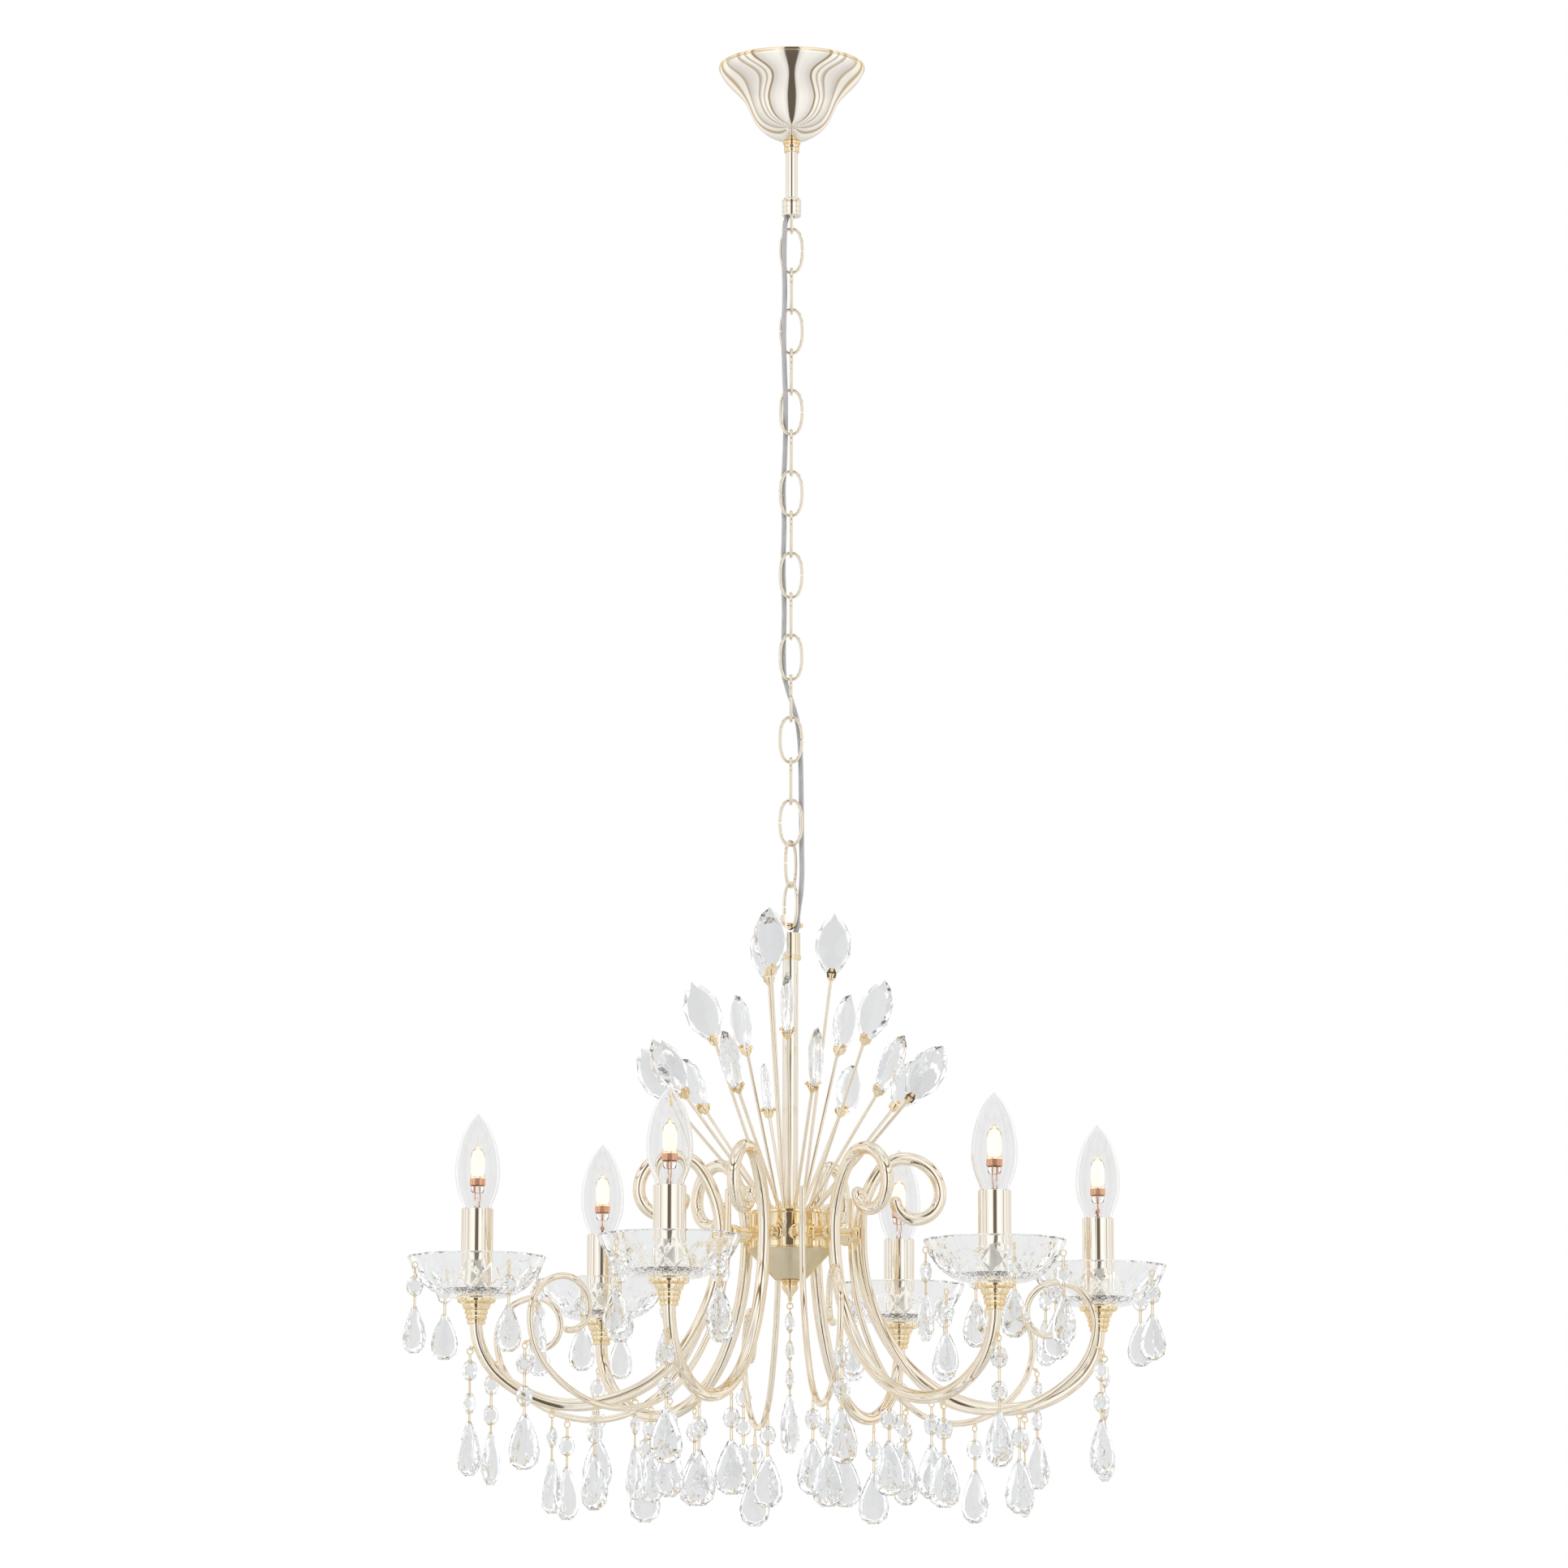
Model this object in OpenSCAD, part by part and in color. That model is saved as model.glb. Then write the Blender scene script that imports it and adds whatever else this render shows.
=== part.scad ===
// Six-light chandelier with glass drip dishes, crystal leaves and drops,
// hung from a ceiling bell by a chain. Millimetres, +Z up.
// The origin is the centre of the ceiling bracket's top face, on the ceiling,
// so the whole object hangs below z = 0.

/* [Ceiling fixing] */
// Length of the hat-shaped ceiling bracket
bracket_l = 96; // [90:1:100]
// Width of the bracket strip
bracket_w = 18; // [14:1:20]
// Thickness of the bracket strip
bracket_t = 2; // [1.5:0.5:2.5]
// Distance between the centres of the two screw slots
slot_spacing = 76; // [72:1:80]
// End-to-end length of each screw slot
slot_l = 12; // [8:1:14]
// Width of each screw slot
slot_w = 4.6; // [4:0.1:5.5]
// Rim radius of the ceiling bell
canopy_r = 59; // [56:1:64]
// Height of the ceiling bell
canopy_h = 63; // [58:1:68]
// Wall of the ceiling bell
canopy_wall = 1.3; // [1:0.1:2]
// Outside diameter of the threaded down tube
down_tube_d = 10; // [10:0.5:10]

/* [Chain] */
// Number of chain links
link_count = 17; // [17:1:17]
// Overall length of one link
link_l = 39; // [38:0.5:40]
// Overall width of one link
link_w = 19.7; // [19:0.1:21]
// Wire thickness of the links
link_wire = 2.6; // [2.4:0.1:2.8]
// Clearance between one link and the next
link_gap = 0.3; // [0.2:0.05:0.5]
// Thickness of the mains flex
cord_d = 4; // [3.6:0.1:4.2]

/* [Stem and hub] */
// Outside diameter of the stem tube
stem_d = 12.5; // [12:0.1:13]
// Outside diameter of the fork at the top of the stem
head_d = 15.6; // [15:0.1:17]
// Radius of the hub drum
hub_r = 32; // [30:1:34]
// Height of the hub drum
hub_h = 30; // [28:1:32]
// Height of the cone under the drum
hub_cone_h = 23.5; // [20:0.5:26]

/* [Arms] */
// Number of candle arms, and of scrolls between them
arm_count = 6; // [6:1:6]
// Outside diameter of a candle arm
arm_d = 10; // [9:0.5:10]
// Outside diameter of a scroll
scroll_d = 5; // [4:0.5:6]
// Distance from the chandelier's axis to each candle
candle_r = 247; // [245:1:250]
// Direction of the first candle arm, in degrees from +X
first_arm = -51.4; // [-60:0.1:-40]

/* [Candles] */
// Outside diameter of a candle sleeve
sleeve_d = 25; // [24:0.5:26]
// Length of a candle sleeve
sleeve_l = 66; // [60:1:70]
// Rim radius of a glass drip dish
dish_r = 54; // [52:1:56]
// Depth of a glass drip dish
dish_h = 32; // [30:1:34]
// Largest diameter of a candle bulb
bulb_d = 35; // [33:0.5:35]
// Length of a bulb above its sleeve
bulb_l = 74; // [70:1:78]

/* [Crystals] */
// Length of a leaf crystal
leaf_l = 51; // [46:1:54]
// Width of a leaf crystal
leaf_w = 25; // [22:1:28]
// Thickness of a leaf crystal
leaf_t = 8; // [6:0.5:10]
// Length of a hanging drop
drop_l = 44; // [40:1:46]
// Width of a hanging drop
drop_w = 25; // [22:1:28]
// Thickness of a hanging drop
drop_t = 11; // [8:0.5:12]
// Width of an eight-sided bead across its corners
bead_d = 15; // [12:0.5:16]

/* [Hidden] */
$fn = 48;

function link_name(i) = str("chain_link_", i < 10 ? "0" : "", i);

gold = "#d9c9a0";
brass = "#d8a860";
crystal = "#dfe6ea";
smoke = "#9a9a9a";
white = "#f2f2f0";

fit = 0.05;                            // radial clearance of parts that slide or screw together
step_turn = 360 / arm_count;           // from one arm to the next
first_scroll = first_arm - step_turn / 2;

// Heights on the axis, from the ceiling down
strap_z = -10;                         // top face of the bracket's middle
collar_top_z = -canopy_h - 0.1;
coupler_top_z = -110;
coupler_bottom_z = -125.5;
first_link_z = -154.1;                 // centre of the topmost link
head_bottom_z = -730;
hub_top_z = -933.4;
hub_bottom_z = hub_top_z - hub_h;
finial_top_z = hub_bottom_z - hub_cone_h;
stud_z = -952.1;                       // level of the studs that carry the arms
stem_top_z = -716;

// Chain: each link hangs inside the one above it
wire_r = link_wire / 2;
link_bend_r = link_w / 2 - wire_r;             // wire centre line radius of a link's ends
link_reach = link_l / 2 - wire_r;              // link centre to the wire centre at each end
link_pitch = 2 * link_reach - link_wire - link_gap;
// Turn of each link about the vertical: alternate links are crossed, the last ones hang askew
link_turns = [for (i = [0 : link_count - 1]) i == 12 ? 4 : i == 14 ? -6 : i == 15 ? 62 : i == 16 ? 125 : 90 * (i % 2)];
function link_z(i) = first_link_z - i * link_pitch;
loop_z = first_link_z + link_reach - link_wire - link_gap;    // wire centre of the coupler's loop
loop_bend_r = 4.2;
pin_r = 1.5;
pin_z = link_z(link_count - 1) - link_reach + wire_r + link_gap + pin_r;
head_turn = link_turns[link_count - 1];        // the fork lies square to the last link
slot_bottom_z = pin_z - 7;

// Candle stations, measured on the arm's own end
socket_z = -1006;                      // top end of an arm, inside its cup
cup_bottom_z = -1025;
dish_seat_z = -1004.5;
sleeve_z = dish_seat_z + 3.5;
sleeve_top_z = sleeve_z + sleeve_l;

// Bend schedules. Each step is [bend radius, angle], or [0, length] for a straight run
main_bends = [[0, 18], [54.5, 50], [89.5, 40], [106, 55], [156, 35], [89, 35], [25.5, 55],
              [28, 90], [20, 90], [16, 80]];
wired_bends = [[0, 18], [54.5, 50], [89.5, 40], [106, 55], [156, 33]];
scroll_bends = [[0, 35], [168, 40], [83, 50], [102, 45], [51, 45], [32.5, 90], [23, 90], [18, 100]];
scroll_in_r = 62;                      // the scroll's inner end stands this far from the axis
scroll_in_z = -921;
main_in_r = 55;                        // the candle arm passes the hub this far from the axis
wire_d = 2.6;                          // lead inside an arm

// Leaf tiers: [leaves, wire root radius, claw radius, claw height, lean of the leaf, first direction]
leaf_tiers = [[3, 9.5, 32, -750, 6, -118], [5, 15.5, 61, -804, 23, -92], [10, 21, 92, -849, 33, -79.5]];
claw_h = 7;
ring_step = 13;                        // largest turn between two rings of a bent tube's skin

// Hanging crystals: [distance from the axis, height of the ring, number of beads, bead pitch]
outer_hook = [251.5, -1046, 2, 25.5];
arm_hooks = [[187, -1094.4, 1, 31], [122, -1084.3, 1, 30]];
scroll_hooks = [[256.5, -1050, 2, 24], [190, -1096.6, 1, 30], [118, -1086.5, 1, 28]];
dish_hook = [53.8, dish_seat_z + 23.5, 1, 29];         // distance from the candle's axis
centre_hook = [0, -1007.5, 3, 22];
// Direction of the first drop of each dish, from the dish's own arm
dish_turns = [65, 40, 66, 36, 22, 66];
bead_t = 5;

// Mains flex, from the terminal block down to the hub, woven beside and through the chain
cord_route = [
  [14, 0, -12], [14, 0, -8], [12.8, 0, -4.4], [9.5, 0, -2.4], [4.5, 0, -2.3], [1.2, 0, -3.9],
  [0, 0, -8], [0, 0, -60], [0, 0, -111], [-1.2, 0, -114], [-3.2, 0, -118.5], [-3.8, 0, -126],
  [-5, -3.2, -131], [-5.5, -4.6, -137], [-6, -4.8, -160], [-5.4, -4.6, -190], [-6.2, -4.8, -225],
  [-5.4, -4.6, -258], [-4.6, -4.6, -276], [-4.6, -2.4, -283], [-4.6, 2.4, -293],
  [-4.6, 4.6, -300], [-5.2, 4.8, -325], [-6.4, 5, -350], [-5.6, 4.8, -380], [-6.4, 5, -415],
  [-5.4, 4.8, -450], [-6, 4.8, -480], [-5.5, 4.6, -503], [-3.4, 4.6, -511.5], [0, 4.6, -522.5],
  [3.4, 4.6, -533.5], [5.4, 4.7, -542], [7.4, 5, -560], [8.2, 5.2, -590], [8.6, 5.2, -622],
  [8.8, 5, -646], [9, 2, -664], [8.2, -1, -680], [6.6, -1.8, -691], [5.6, -1.7, -699],
  [5.5, -1.6, -707], [3.8, -1.1, -711.5], [1.6, -0.5, -717], [0, 0, -724], [0, 0, -830],
  [0, 0, -935]];

// ---------------------------------------------------------------- shared shapes

// A point of a cubic curve with the given end and control points
function curve_point(p, t) =
  (1 - t) ^ 3 * p[0] + 3 * (1 - t) ^ 2 * t * p[1] + 3 * (1 - t) * t ^ 2 * p[2] + t ^ 3 * p[3];
function curve(p, n) = [for (i = [0 : n]) curve_point(p, i / n)];

module ring_of(first) for (i = [0 : arm_count - 1]) rotate(first + i * step_turn) children();

// Puts its children at station i of the candle arms, at the given height
module at_candle(i, z) rotate(first_arm + i * step_turn) translate([candle_r, 0, z]) children();

// The centre line of a bent tube as [x, z, heading], one for each ring of its skin.
// It starts up +Z and bends towards -X
function bend_path(steps, x = 0, z = 0, way = 0, i = 0) = i == len(steps) ? [[x, z, way]] :
  let (r = steps[i][0], a = steps[i][1], n = r == 0 ? 1 : ceil(a / ring_step))
  concat(
    [for (k = [0 : n - 1]) let (b = r == 0 ? way : way + a * k / n)
      [x + r * (cos(b) - cos(way)), z + r * (sin(b) - sin(way)), b]],
    r == 0 ? bend_path(steps, x - a * sin(way), z + a * cos(way), way, i + 1)
      : bend_path(steps, x + r * (cos(way + a) - cos(way)), z + r * (sin(way + a) - sin(way)),
          way + a, i + 1));
function tube_rings(path, d, sides) = [for (p = path) [for (k = [0 : sides - 1])
  let (out = d / 2 * cos(k * 360 / sides))
  [p[0] + out * cos(p[2]), d / 2 * sin(k * 360 / sides), p[1] + out * sin(p[2])]]];

// A bent rod, or with a bore a bent tube that is closed at its far end
module bent_rod(d, steps, sides = 8) skin(tube_rings(bend_path(steps), d, sides));
module bent_tube(d, bore, steps, sides = 10) {
  path = bend_path(steps);
  outer = tube_rings(path, d, sides);
  inner = tube_rings([for (i = [0 : len(path) - 2]) path[i]], bore, sides);
  m = len(outer);
  hollow = m * sides;
  polyhedron(
    points = concat([for (ring = outer) each ring], [for (ring = inner) each ring]),
    faces = concat(
      sides_of(m, sides, 0), [[for (k = [sides - 1 : -1 : 0]) (m - 1) * sides + k]],
      [for (f = sides_of(m - 1, sides, hollow)) [f[3], f[2], f[1], f[0]]],
      [[for (k = [0 : sides - 1]) hollow + (m - 2) * sides + k]],
      [for (k = [0 : sides - 1]) [k, (k + 1) % sides, hollow + (k + 1) % sides, hollow + k]]));
}

// A hoop of wire standing in the XZ plane
module wire_ring(r, wire) rotate([90, 0, 0]) rotate_extrude() translate([r, 0]) circle(wire);

// The faces round a stack of m rings of n points that starts at point number first
function sides_of(m, n, first) = [for (j = [0 : m - 2], k = [0 : n - 1])
  [first + j * n + k, first + (j + 1) * n + k, first + (j + 1) * n + (k + 1) % n,
   first + j * n + (k + 1) % n]];

// A closed solid whose rings of points are given from the bottom up
module skin(rings) {
  n = len(rings[0]);
  m = len(rings);
  polyhedron(
    points = [for (ring = rings) each ring],
    faces = concat([[for (k = [0 : n - 1]) k]], sides_of(m, n, 0),
      [[for (k = [n - 1 : -1 : 0]) (m - 1) * n + k]]));
}
// An eight-sided ring, flattened to thickness t
function flat_ring(w, t, z) = [for (k = [0 : 7]) [w / 2 * cos(k * 45 + 22.5), t / 2 * sin(k * 45 + 22.5), z]];

// A drop hanging from z = 0, flat in Y
module drop(l = drop_l, w = drop_w, t = drop_t) skin([
  flat_ring(w * 0.16, t * 0.3, -l), flat_ring(w * 0.72, t * 0.8, -l * 0.93),
  flat_ring(w * 1.06, t, -l * 0.72), flat_ring(w * 0.7, t * 0.8, -l * 0.4),
  flat_ring(w * 0.3, t * 0.5, -l * 0.1), flat_ring(w * 0.16, t * 0.3, 0)]);

// An eight-sided bead, flat in Y
module bead() rotate([90, 0, 0]) cylinder(d = bead_d, h = bead_t, center = true, $fn = 8);

// A strand that hangs from a ring at the origin: beads and one drop, joined by wire pins
module strand(hook, l = drop_l, w = drop_w, t = drop_t) {
  beads = hook[2];
  pitch = hook[3];
  into = bead_d / 2 - 1;               // a pin starts this far from the centre of a bead
  wire_ring(2.2, 0.5);
  for (i = [0 : beads]) {
    top = i == 0 ? -2 : -2 - (i - 0.5) * pitch - into;
    foot = i == beads ? -4 - i * pitch : -2 - (i + 0.5) * pitch + into;
    translate([0, 0, foot]) cylinder(r = 0.6, h = top - foot);
    if (i < beads) translate([0, 0, -2 - (i + 0.5) * pitch]) bead();
  }
  translate([0, 0, -2 - beads * pitch]) drop(l, w, t);
}

// ---------------------------------------------------------------- ceiling parts

module ceiling_bracket() color(smoke) {
  foot = 20;
  half = bracket_l / 2;
  t = bracket_t;
  difference() {
    rotate([90, 0, 0]) linear_extrude(bracket_w, center = true) polygon([
      [-half, 0], [-half + foot, 0], [-20, strap_z], [20, strap_z], [half - foot, 0], [half, 0],
      [half, -t], [half - foot + 1, -t], [21, strap_z - t], [-21, strap_z - t],
      [-half + foot - 1, -t], [-half, -t]]);
    for (side = [-1, 1]) translate([side * slot_spacing / 2, 0, -t - 1])
      linear_extrude(t + 2) {
        for (e = [-1, 1]) translate([e * (slot_l - slot_w) / 2, 0]) circle(d = slot_w);
        square([slot_l - slot_w, slot_w], center = true);
      }
    translate([0, 0, strap_z - t - 1]) cylinder(d = down_tube_d + 0.2, h = t + 2);
    translate([cord_route[0][0], 0, strap_z - t - 1]) cylinder(d = cord_d + 1.5, h = t + 2);
  }
}

// One six-sided lock nut above the strap and one below it
module tube_nuts() color(brass) for (z = [strap_z, strap_z - bracket_t - 3.5]) translate([0, 0, z])
  difference() {
    cylinder(d = 16, h = 3.5, $fn = 6);
    translate([0, 0, -1]) cylinder(d = down_tube_d + 2 * fit, h = 6);
  }

module terminal_block() color(white) translate([0, 0, strap_z - bracket_t - 12]) difference() {
  translate([9.5, -7, 0]) cube([23, 14, 12]);
  for (x = [14, 21, 28]) translate([x, 0, -1]) cylinder(d = 3.6, h = 8);
  for (x = [14, 21, 28]) translate([x, 0, 4]) rotate([90, 0, 0]) cylinder(d = 2.6, h = 20, center = true);
}

function bell(inset) = concat(
  curve([[canopy_r - inset, 0], [canopy_r - 0.5 - inset, -12], [canopy_r - 17 - inset, -20],
         [canopy_r - 23 - inset, -33]], 10),
  [for (i = [1 : 10]) curve_point([[canopy_r - 23 - inset, -33], [canopy_r - 27.5 - inset, -43],
         [canopy_r - 30 - inset, 7 - canopy_h + inset], [down_tube_d / 2 + 0.3, inset - canopy_h]], i / 10)]);

module canopy() color(gold) {
  outside = bell(0);
  inside = bell(canopy_wall);
  rotate_extrude($fn = 96) polygon(concat(outside, [for (i = [len(inside) - 1 : -1 : 0]) inside[i]]));
}

module canopy_collar() color(brass) difference() {
  union() {
    translate([0, 0, collar_top_z - 8.4]) cylinder(d = 12.4, h = 8.4);
    translate([0, 0, collar_top_z - 1.4]) cylinder(d = 14.4, h = 1.4);
  }
  translate([0, 0, collar_top_z - 9]) cylinder(d = down_tube_d + 2 * fit, h = 12);
  translate([0, 0, collar_top_z - 4.8]) rotate([90, 0, 0]) cylinder(d = 3, h = 10);
}

// A slotted grub screw that clamps the collar to the tube
module collar_screw() color(smoke) translate([0, 0, collar_top_z - 4.8]) rotate([90, 0, 0]) difference() {
  translate([0, 0, down_tube_d / 2 + fit]) cylinder(d = 3 - 2 * fit, h = 2);
  translate([0, 0, down_tube_d / 2 + 2.6]) cube([4, 0.6, 1.4], center = true);
}

module down_tube() color(gold) difference() {
  translate([0, 0, -114]) cylinder(d = down_tube_d, h = 109);
  translate([0, 0, -120]) cylinder(d = down_tube_d - 3, h = 120);
}

module chain_coupler() color(gold) {
  h = coupler_top_z - coupler_bottom_z;
  difference() {
    translate([0, 0, coupler_bottom_z]) rotate_extrude() {
      square([7.8, h - 3.5]);
      square([4.3, h]);
      translate([4.3, h - 3.5]) circle(3.5);
    }
    // seat of the down tube, with room below it for the flex
    translate([0, 0, coupler_bottom_z + 7.5]) cylinder(d = down_tube_d + 2 * fit, h = h);
    // way out for the flex, and the two holes of the loop
    translate([-3.8, 0, coupler_bottom_z - 1]) cylinder(d = cord_d + 1, h = 10);
    for (side = [-1, 1]) translate([0, side * loop_bend_r, coupler_bottom_z - 1])
      cylinder(r = wire_r + fit, h = 6.5);
    // two turned grooves
    for (z = [3, 7]) translate([0, 0, coupler_bottom_z + z]) rotate_extrude()
      translate([7.8, 0]) circle(0.4);
  }
}

// A U of wire, held in the coupler, that the first link hangs from
module coupler_loop() color(gold) translate([0, 0, loop_z + loop_bend_r]) {
  rotate([0, 90, 0]) rotate_extrude(angle = 180, start = -90) translate([loop_bend_r, 0]) circle(wire_r);
  for (side = [-1, 1]) translate([0, side * loop_bend_r, 0])
    cylinder(r = wire_r, h = coupler_bottom_z + 5 - loop_z - loop_bend_r);
}

// ---------------------------------------------------------------- chain and flex

module chain_link(i) color(gold) translate([0, 0, link_z(i)]) rotate(link_turns[i]) {
  straight = link_reach - link_bend_r;
  for (end = [0, 180]) rotate([0, end, 0]) translate([0, 0, straight])
    rotate([90, 0, 0]) rotate_extrude(angle = 180) translate([link_bend_r, 0]) circle(wire_r);
  for (side = [-1, 1]) translate([side * link_bend_r, 0, -straight])
    cylinder(r = wire_r, h = 2 * straight);
}

function unit(v) = v / norm(v);
// Direction of the flex at point i of its route
function cord_way(i) = let (n = len(cord_route) - 1)
  unit(cord_route[min(i + 1, n)] - cord_route[max(i - 1, 0)]);
// Eight points round the flex at point i, kept square to its direction
function cord_ring(i) = let (
    w = cord_way(i),
    side = unit(cross(w, [0, 1, 0])),
    up = cross(side, w))
  [for (k = [0 : 7]) cord_route[i] + cord_d / 2 * (cos(k * 45) * side + sin(k * 45) * up)];

module power_cord() color(smoke) skin([for (i = [0 : len(cord_route) - 1]) cord_ring(i)]);

// ---------------------------------------------------------------- stem and hub

module stem_head() color(gold) {
  ear_w = 6;
  bore_r = stem_d / 2 + fit;
  rotate(head_turn) difference() {
    union() {
      translate([0, 0, head_bottom_z]) cylinder(d = head_d, h = slot_bottom_z - head_bottom_z);
      // two ears that carry the pin, one on each side of the link
      intersection() {
        translate([0, 0, slot_bottom_z - 1]) cylinder(d = head_d, h = pin_z + 7.4 - slot_bottom_z + 1);
        translate([-ear_w / 2, -head_d, slot_bottom_z - 1]) cube([ear_w, 2 * head_d, 40]);
      }
      translate([0, 0, head_bottom_z - 3.5]) cylinder(d = head_d + 0.6, h = 3.5);
    }
    translate([0, 0, head_bottom_z - 10]) cylinder(r = bore_r, h = 80);
    translate([0, 0, pin_z]) rotate([90, 0, 0]) cylinder(r = pin_r + fit, h = 40, center = true);
  }
}

// The pin with a round head at each end
module fork_pin() color(brass) translate([0, 0, pin_z]) rotate([0, 0, head_turn]) {
  rotate([90, 0, 0]) cylinder(r = pin_r, h = head_d + 2, center = true);
  for (side = [-1, 1]) translate([0, side * (head_d / 2 + 1.8), 0]) sphere(2.2);
}

module stem_tube() color(gold) difference() {
  translate([0, 0, finial_top_z + 13]) cylinder(d = stem_d, h = stem_top_z - finial_top_z - 13);
  translate([0, 0, finial_top_z + 18]) cylinder(d = stem_d - 2, h = stem_top_z - finial_top_z);
  translate([0, 0, finial_top_z]) cylinder(r = 3 + fit, h = 30);
  for (i = [0 : arm_count / 2 - 1]) translate([0, 0, stud_z]) rotate([0, 90, first_arm + i * step_turn])
    cylinder(r = 2.2, h = 30, center = true);
}

module hub_drum() color(brass) difference() {
  translate([0, 0, hub_bottom_z]) cylinder(r = hub_r, h = hub_h, $fn = 96);
  translate([0, 0, hub_bottom_z - 1]) cylinder(r = hub_r - 2, h = hub_h - 2, $fn = 96);
  translate([0, 0, hub_top_z - 10]) cylinder(d = stem_d + 2 * fit, h = 20);
  ring_of(first_arm) translate([0, 0, stud_z]) rotate([0, 90, 0]) cylinder(r = 2.5, h = hub_r + 5);
}

module hub_cone() color(brass) difference() {
  translate([0, 0, finial_top_z]) cylinder(r1 = 12.5, r2 = hub_r, h = hub_cone_h, $fn = 96);
  translate([0, 0, finial_top_z + 2.5]) cylinder(r1 = 11, r2 = hub_r - 2, h = hub_cone_h - 2.4, $fn = 96);
  translate([0, 0, finial_top_z - 1]) cylinder(r = 3 + fit, h = 10);
}

module hub_finial() color(brass) {
  translate([0, 0, finial_top_z]) rotate_extrude() difference() {
    union() {
      translate([0, -2]) square([7, 2]);
      translate([0, -4]) square([6.4, 2.5]);
      translate([0, -6.5]) circle(6.6);
      translate([0, -17]) square([1.6, 6]);
    }
    translate([-20, -30]) square([20, 60]);
    translate([0, -1.5]) square([20, 20]);
  }
  // the eye that the middle strand hangs from
  translate([0, 0, finial_top_z - 18.1]) rotate([0, 90, 0]) rotate_extrude($fn = 24)
    translate([1.6, 0]) circle(r = 0.6, $fn = 12);
  translate([0, 0, finial_top_z - 1.6]) cylinder(r = 7, h = 1.6);
  translate([0, 0, finial_top_z - 1]) cylinder(r = 3, h = 18.5);
}

// Studs from the drum to each arm and scroll, and the nut that locks the stem under the drum's top
module hub_fasteners() color(brass) {
  ring_of(first_arm) hub_stud(main_in_r, arm_d, 2.5);
  ring_of(first_scroll) hub_stud(scroll_in_r, scroll_d, 0);
  translate([0, 0, hub_top_z - 9.1]) difference() {
    cylinder(d = 22, h = 6, $fn = 6);
    translate([0, 0, -1]) cylinder(d = stem_d + 2 * fit, h = 8);
  }
}
module hub_stud(reach, tube_d, bore) difference() {
  translate([0, 0, stud_z]) rotate([0, 90, 0]) cylinder(r = 5.2, h = reach);
  translate([0, 0, stud_z - 20]) cylinder(r = hub_r + 0.02, h = 40, $fn = 96);
  translate([reach, 0, stud_z - 20]) cylinder(d = tube_d + 0.04, h = 40);
  if (bore > 0) translate([0, 0, stud_z]) rotate([0, 90, 0]) cylinder(r = bore, h = reach);
}

// ---------------------------------------------------------------- leaf spray

// Puts its children at the top of each leaf wire, turned to lean outwards with the leaf
module at_leaves() for (tier = leaf_tiers, i = [0 : tier[0] - 1])
  rotate(tier[5] + i * 360 / tier[0]) translate([tier[2], 0, tier[3]]) rotate([0, tier[4], 0]) children();

module leaf_stems() color(gold) for (tier = leaf_tiers, i = [0 : tier[0] - 1])
  rotate(tier[5] + i * 360 / tier[0]) {
    run = tier[2] - tier[1];
    rise = tier[3] - hub_top_z;
    translate([tier[1], 0, hub_top_z]) {
      cylinder(r = 2.6, h = 3);
      translate([0, 0, 1.5]) rotate([0, atan2(run, rise - 1.5), 0])
        cylinder(r = 1.3, h = norm([run, rise - 1.5]) - 0.6);
    }
  }

// A small cup with three prongs and a ball-ended pin through the foot of the crystal
module leaf_claws() color(brass) at_leaves() {
  difference() {
    cylinder(r1 = 1.8, r2 = 5, h = claw_h);
    translate([0, 0, 1.5]) cylinder(r1 = 0.8, r2 = 5.6, h = claw_h);
  }
  for (side = [-1, 1]) translate([0, side * 5.6, claw_h + 1]) sphere(1.3, $fn = 16);
  translate([0, 0, claw_h + 1]) rotate([90, 0, 0]) cylinder(r = 0.5, h = 11, center = true);
}

// A flat pointed oval with a ridge down each face
module leaf_crystals() color(crystal) at_leaves() translate([0, 0, 2.6]) {
  rim = [[0.1, 0], [0.3, 0.12], [0.5, 0.42], [0.42, 0.72], [0.2, 0.92], [0, 1], [-0.2, 0.92],
         [-0.42, 0.72], [-0.5, 0.42], [-0.3, 0.12], [-0.1, 0]];
  n = len(rim);
  polyhedron(
    points = concat([for (p = rim) [p[0] * leaf_w, 0, p[1] * leaf_l]],
      [[0, -leaf_t / 2, leaf_l * 0.25], [0, -leaf_t / 2, leaf_l * 0.7],
       [0, leaf_t / 2, leaf_l * 0.25], [0, leaf_t / 2, leaf_l * 0.7]]),
    faces = concat(
      [for (k = [0 : n - 1]) [k, (k + 1) % n, k == n - 1 || k < 2 || k > 7 ? n : n + 1]],
      [[2, n + 1, n], [8, n, n + 1]],
      [for (k = [0 : n - 1]) [(k + 1) % n, k, k == n - 1 || k < 2 || k > 7 ? n + 2 : n + 3]],
      [[2, n + 2, n + 3], [8, n + 3, n + 2]]));
}

// ---------------------------------------------------------------- arms

// Runs down from each candle, under the drum's level and up past it to a small curl
module main_arms() color(gold) difference() {
  for (i = [0 : arm_count - 1]) at_candle(i, socket_z) rotate([180, 0, 0])
    bent_tube(arm_d, arm_d - 2, main_bends);
  ring_of(first_arm) translate([main_in_r - arm_d, 0, stud_z]) rotate([0, 90, 0])
    cylinder(r = 2, h = arm_d);
}

module scroll_arms() color(gold) ring_of(first_scroll) translate([scroll_in_r, 0, scroll_in_z])
  rotate([180, 0, 180]) bent_rod(scroll_d, scroll_bends);

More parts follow.
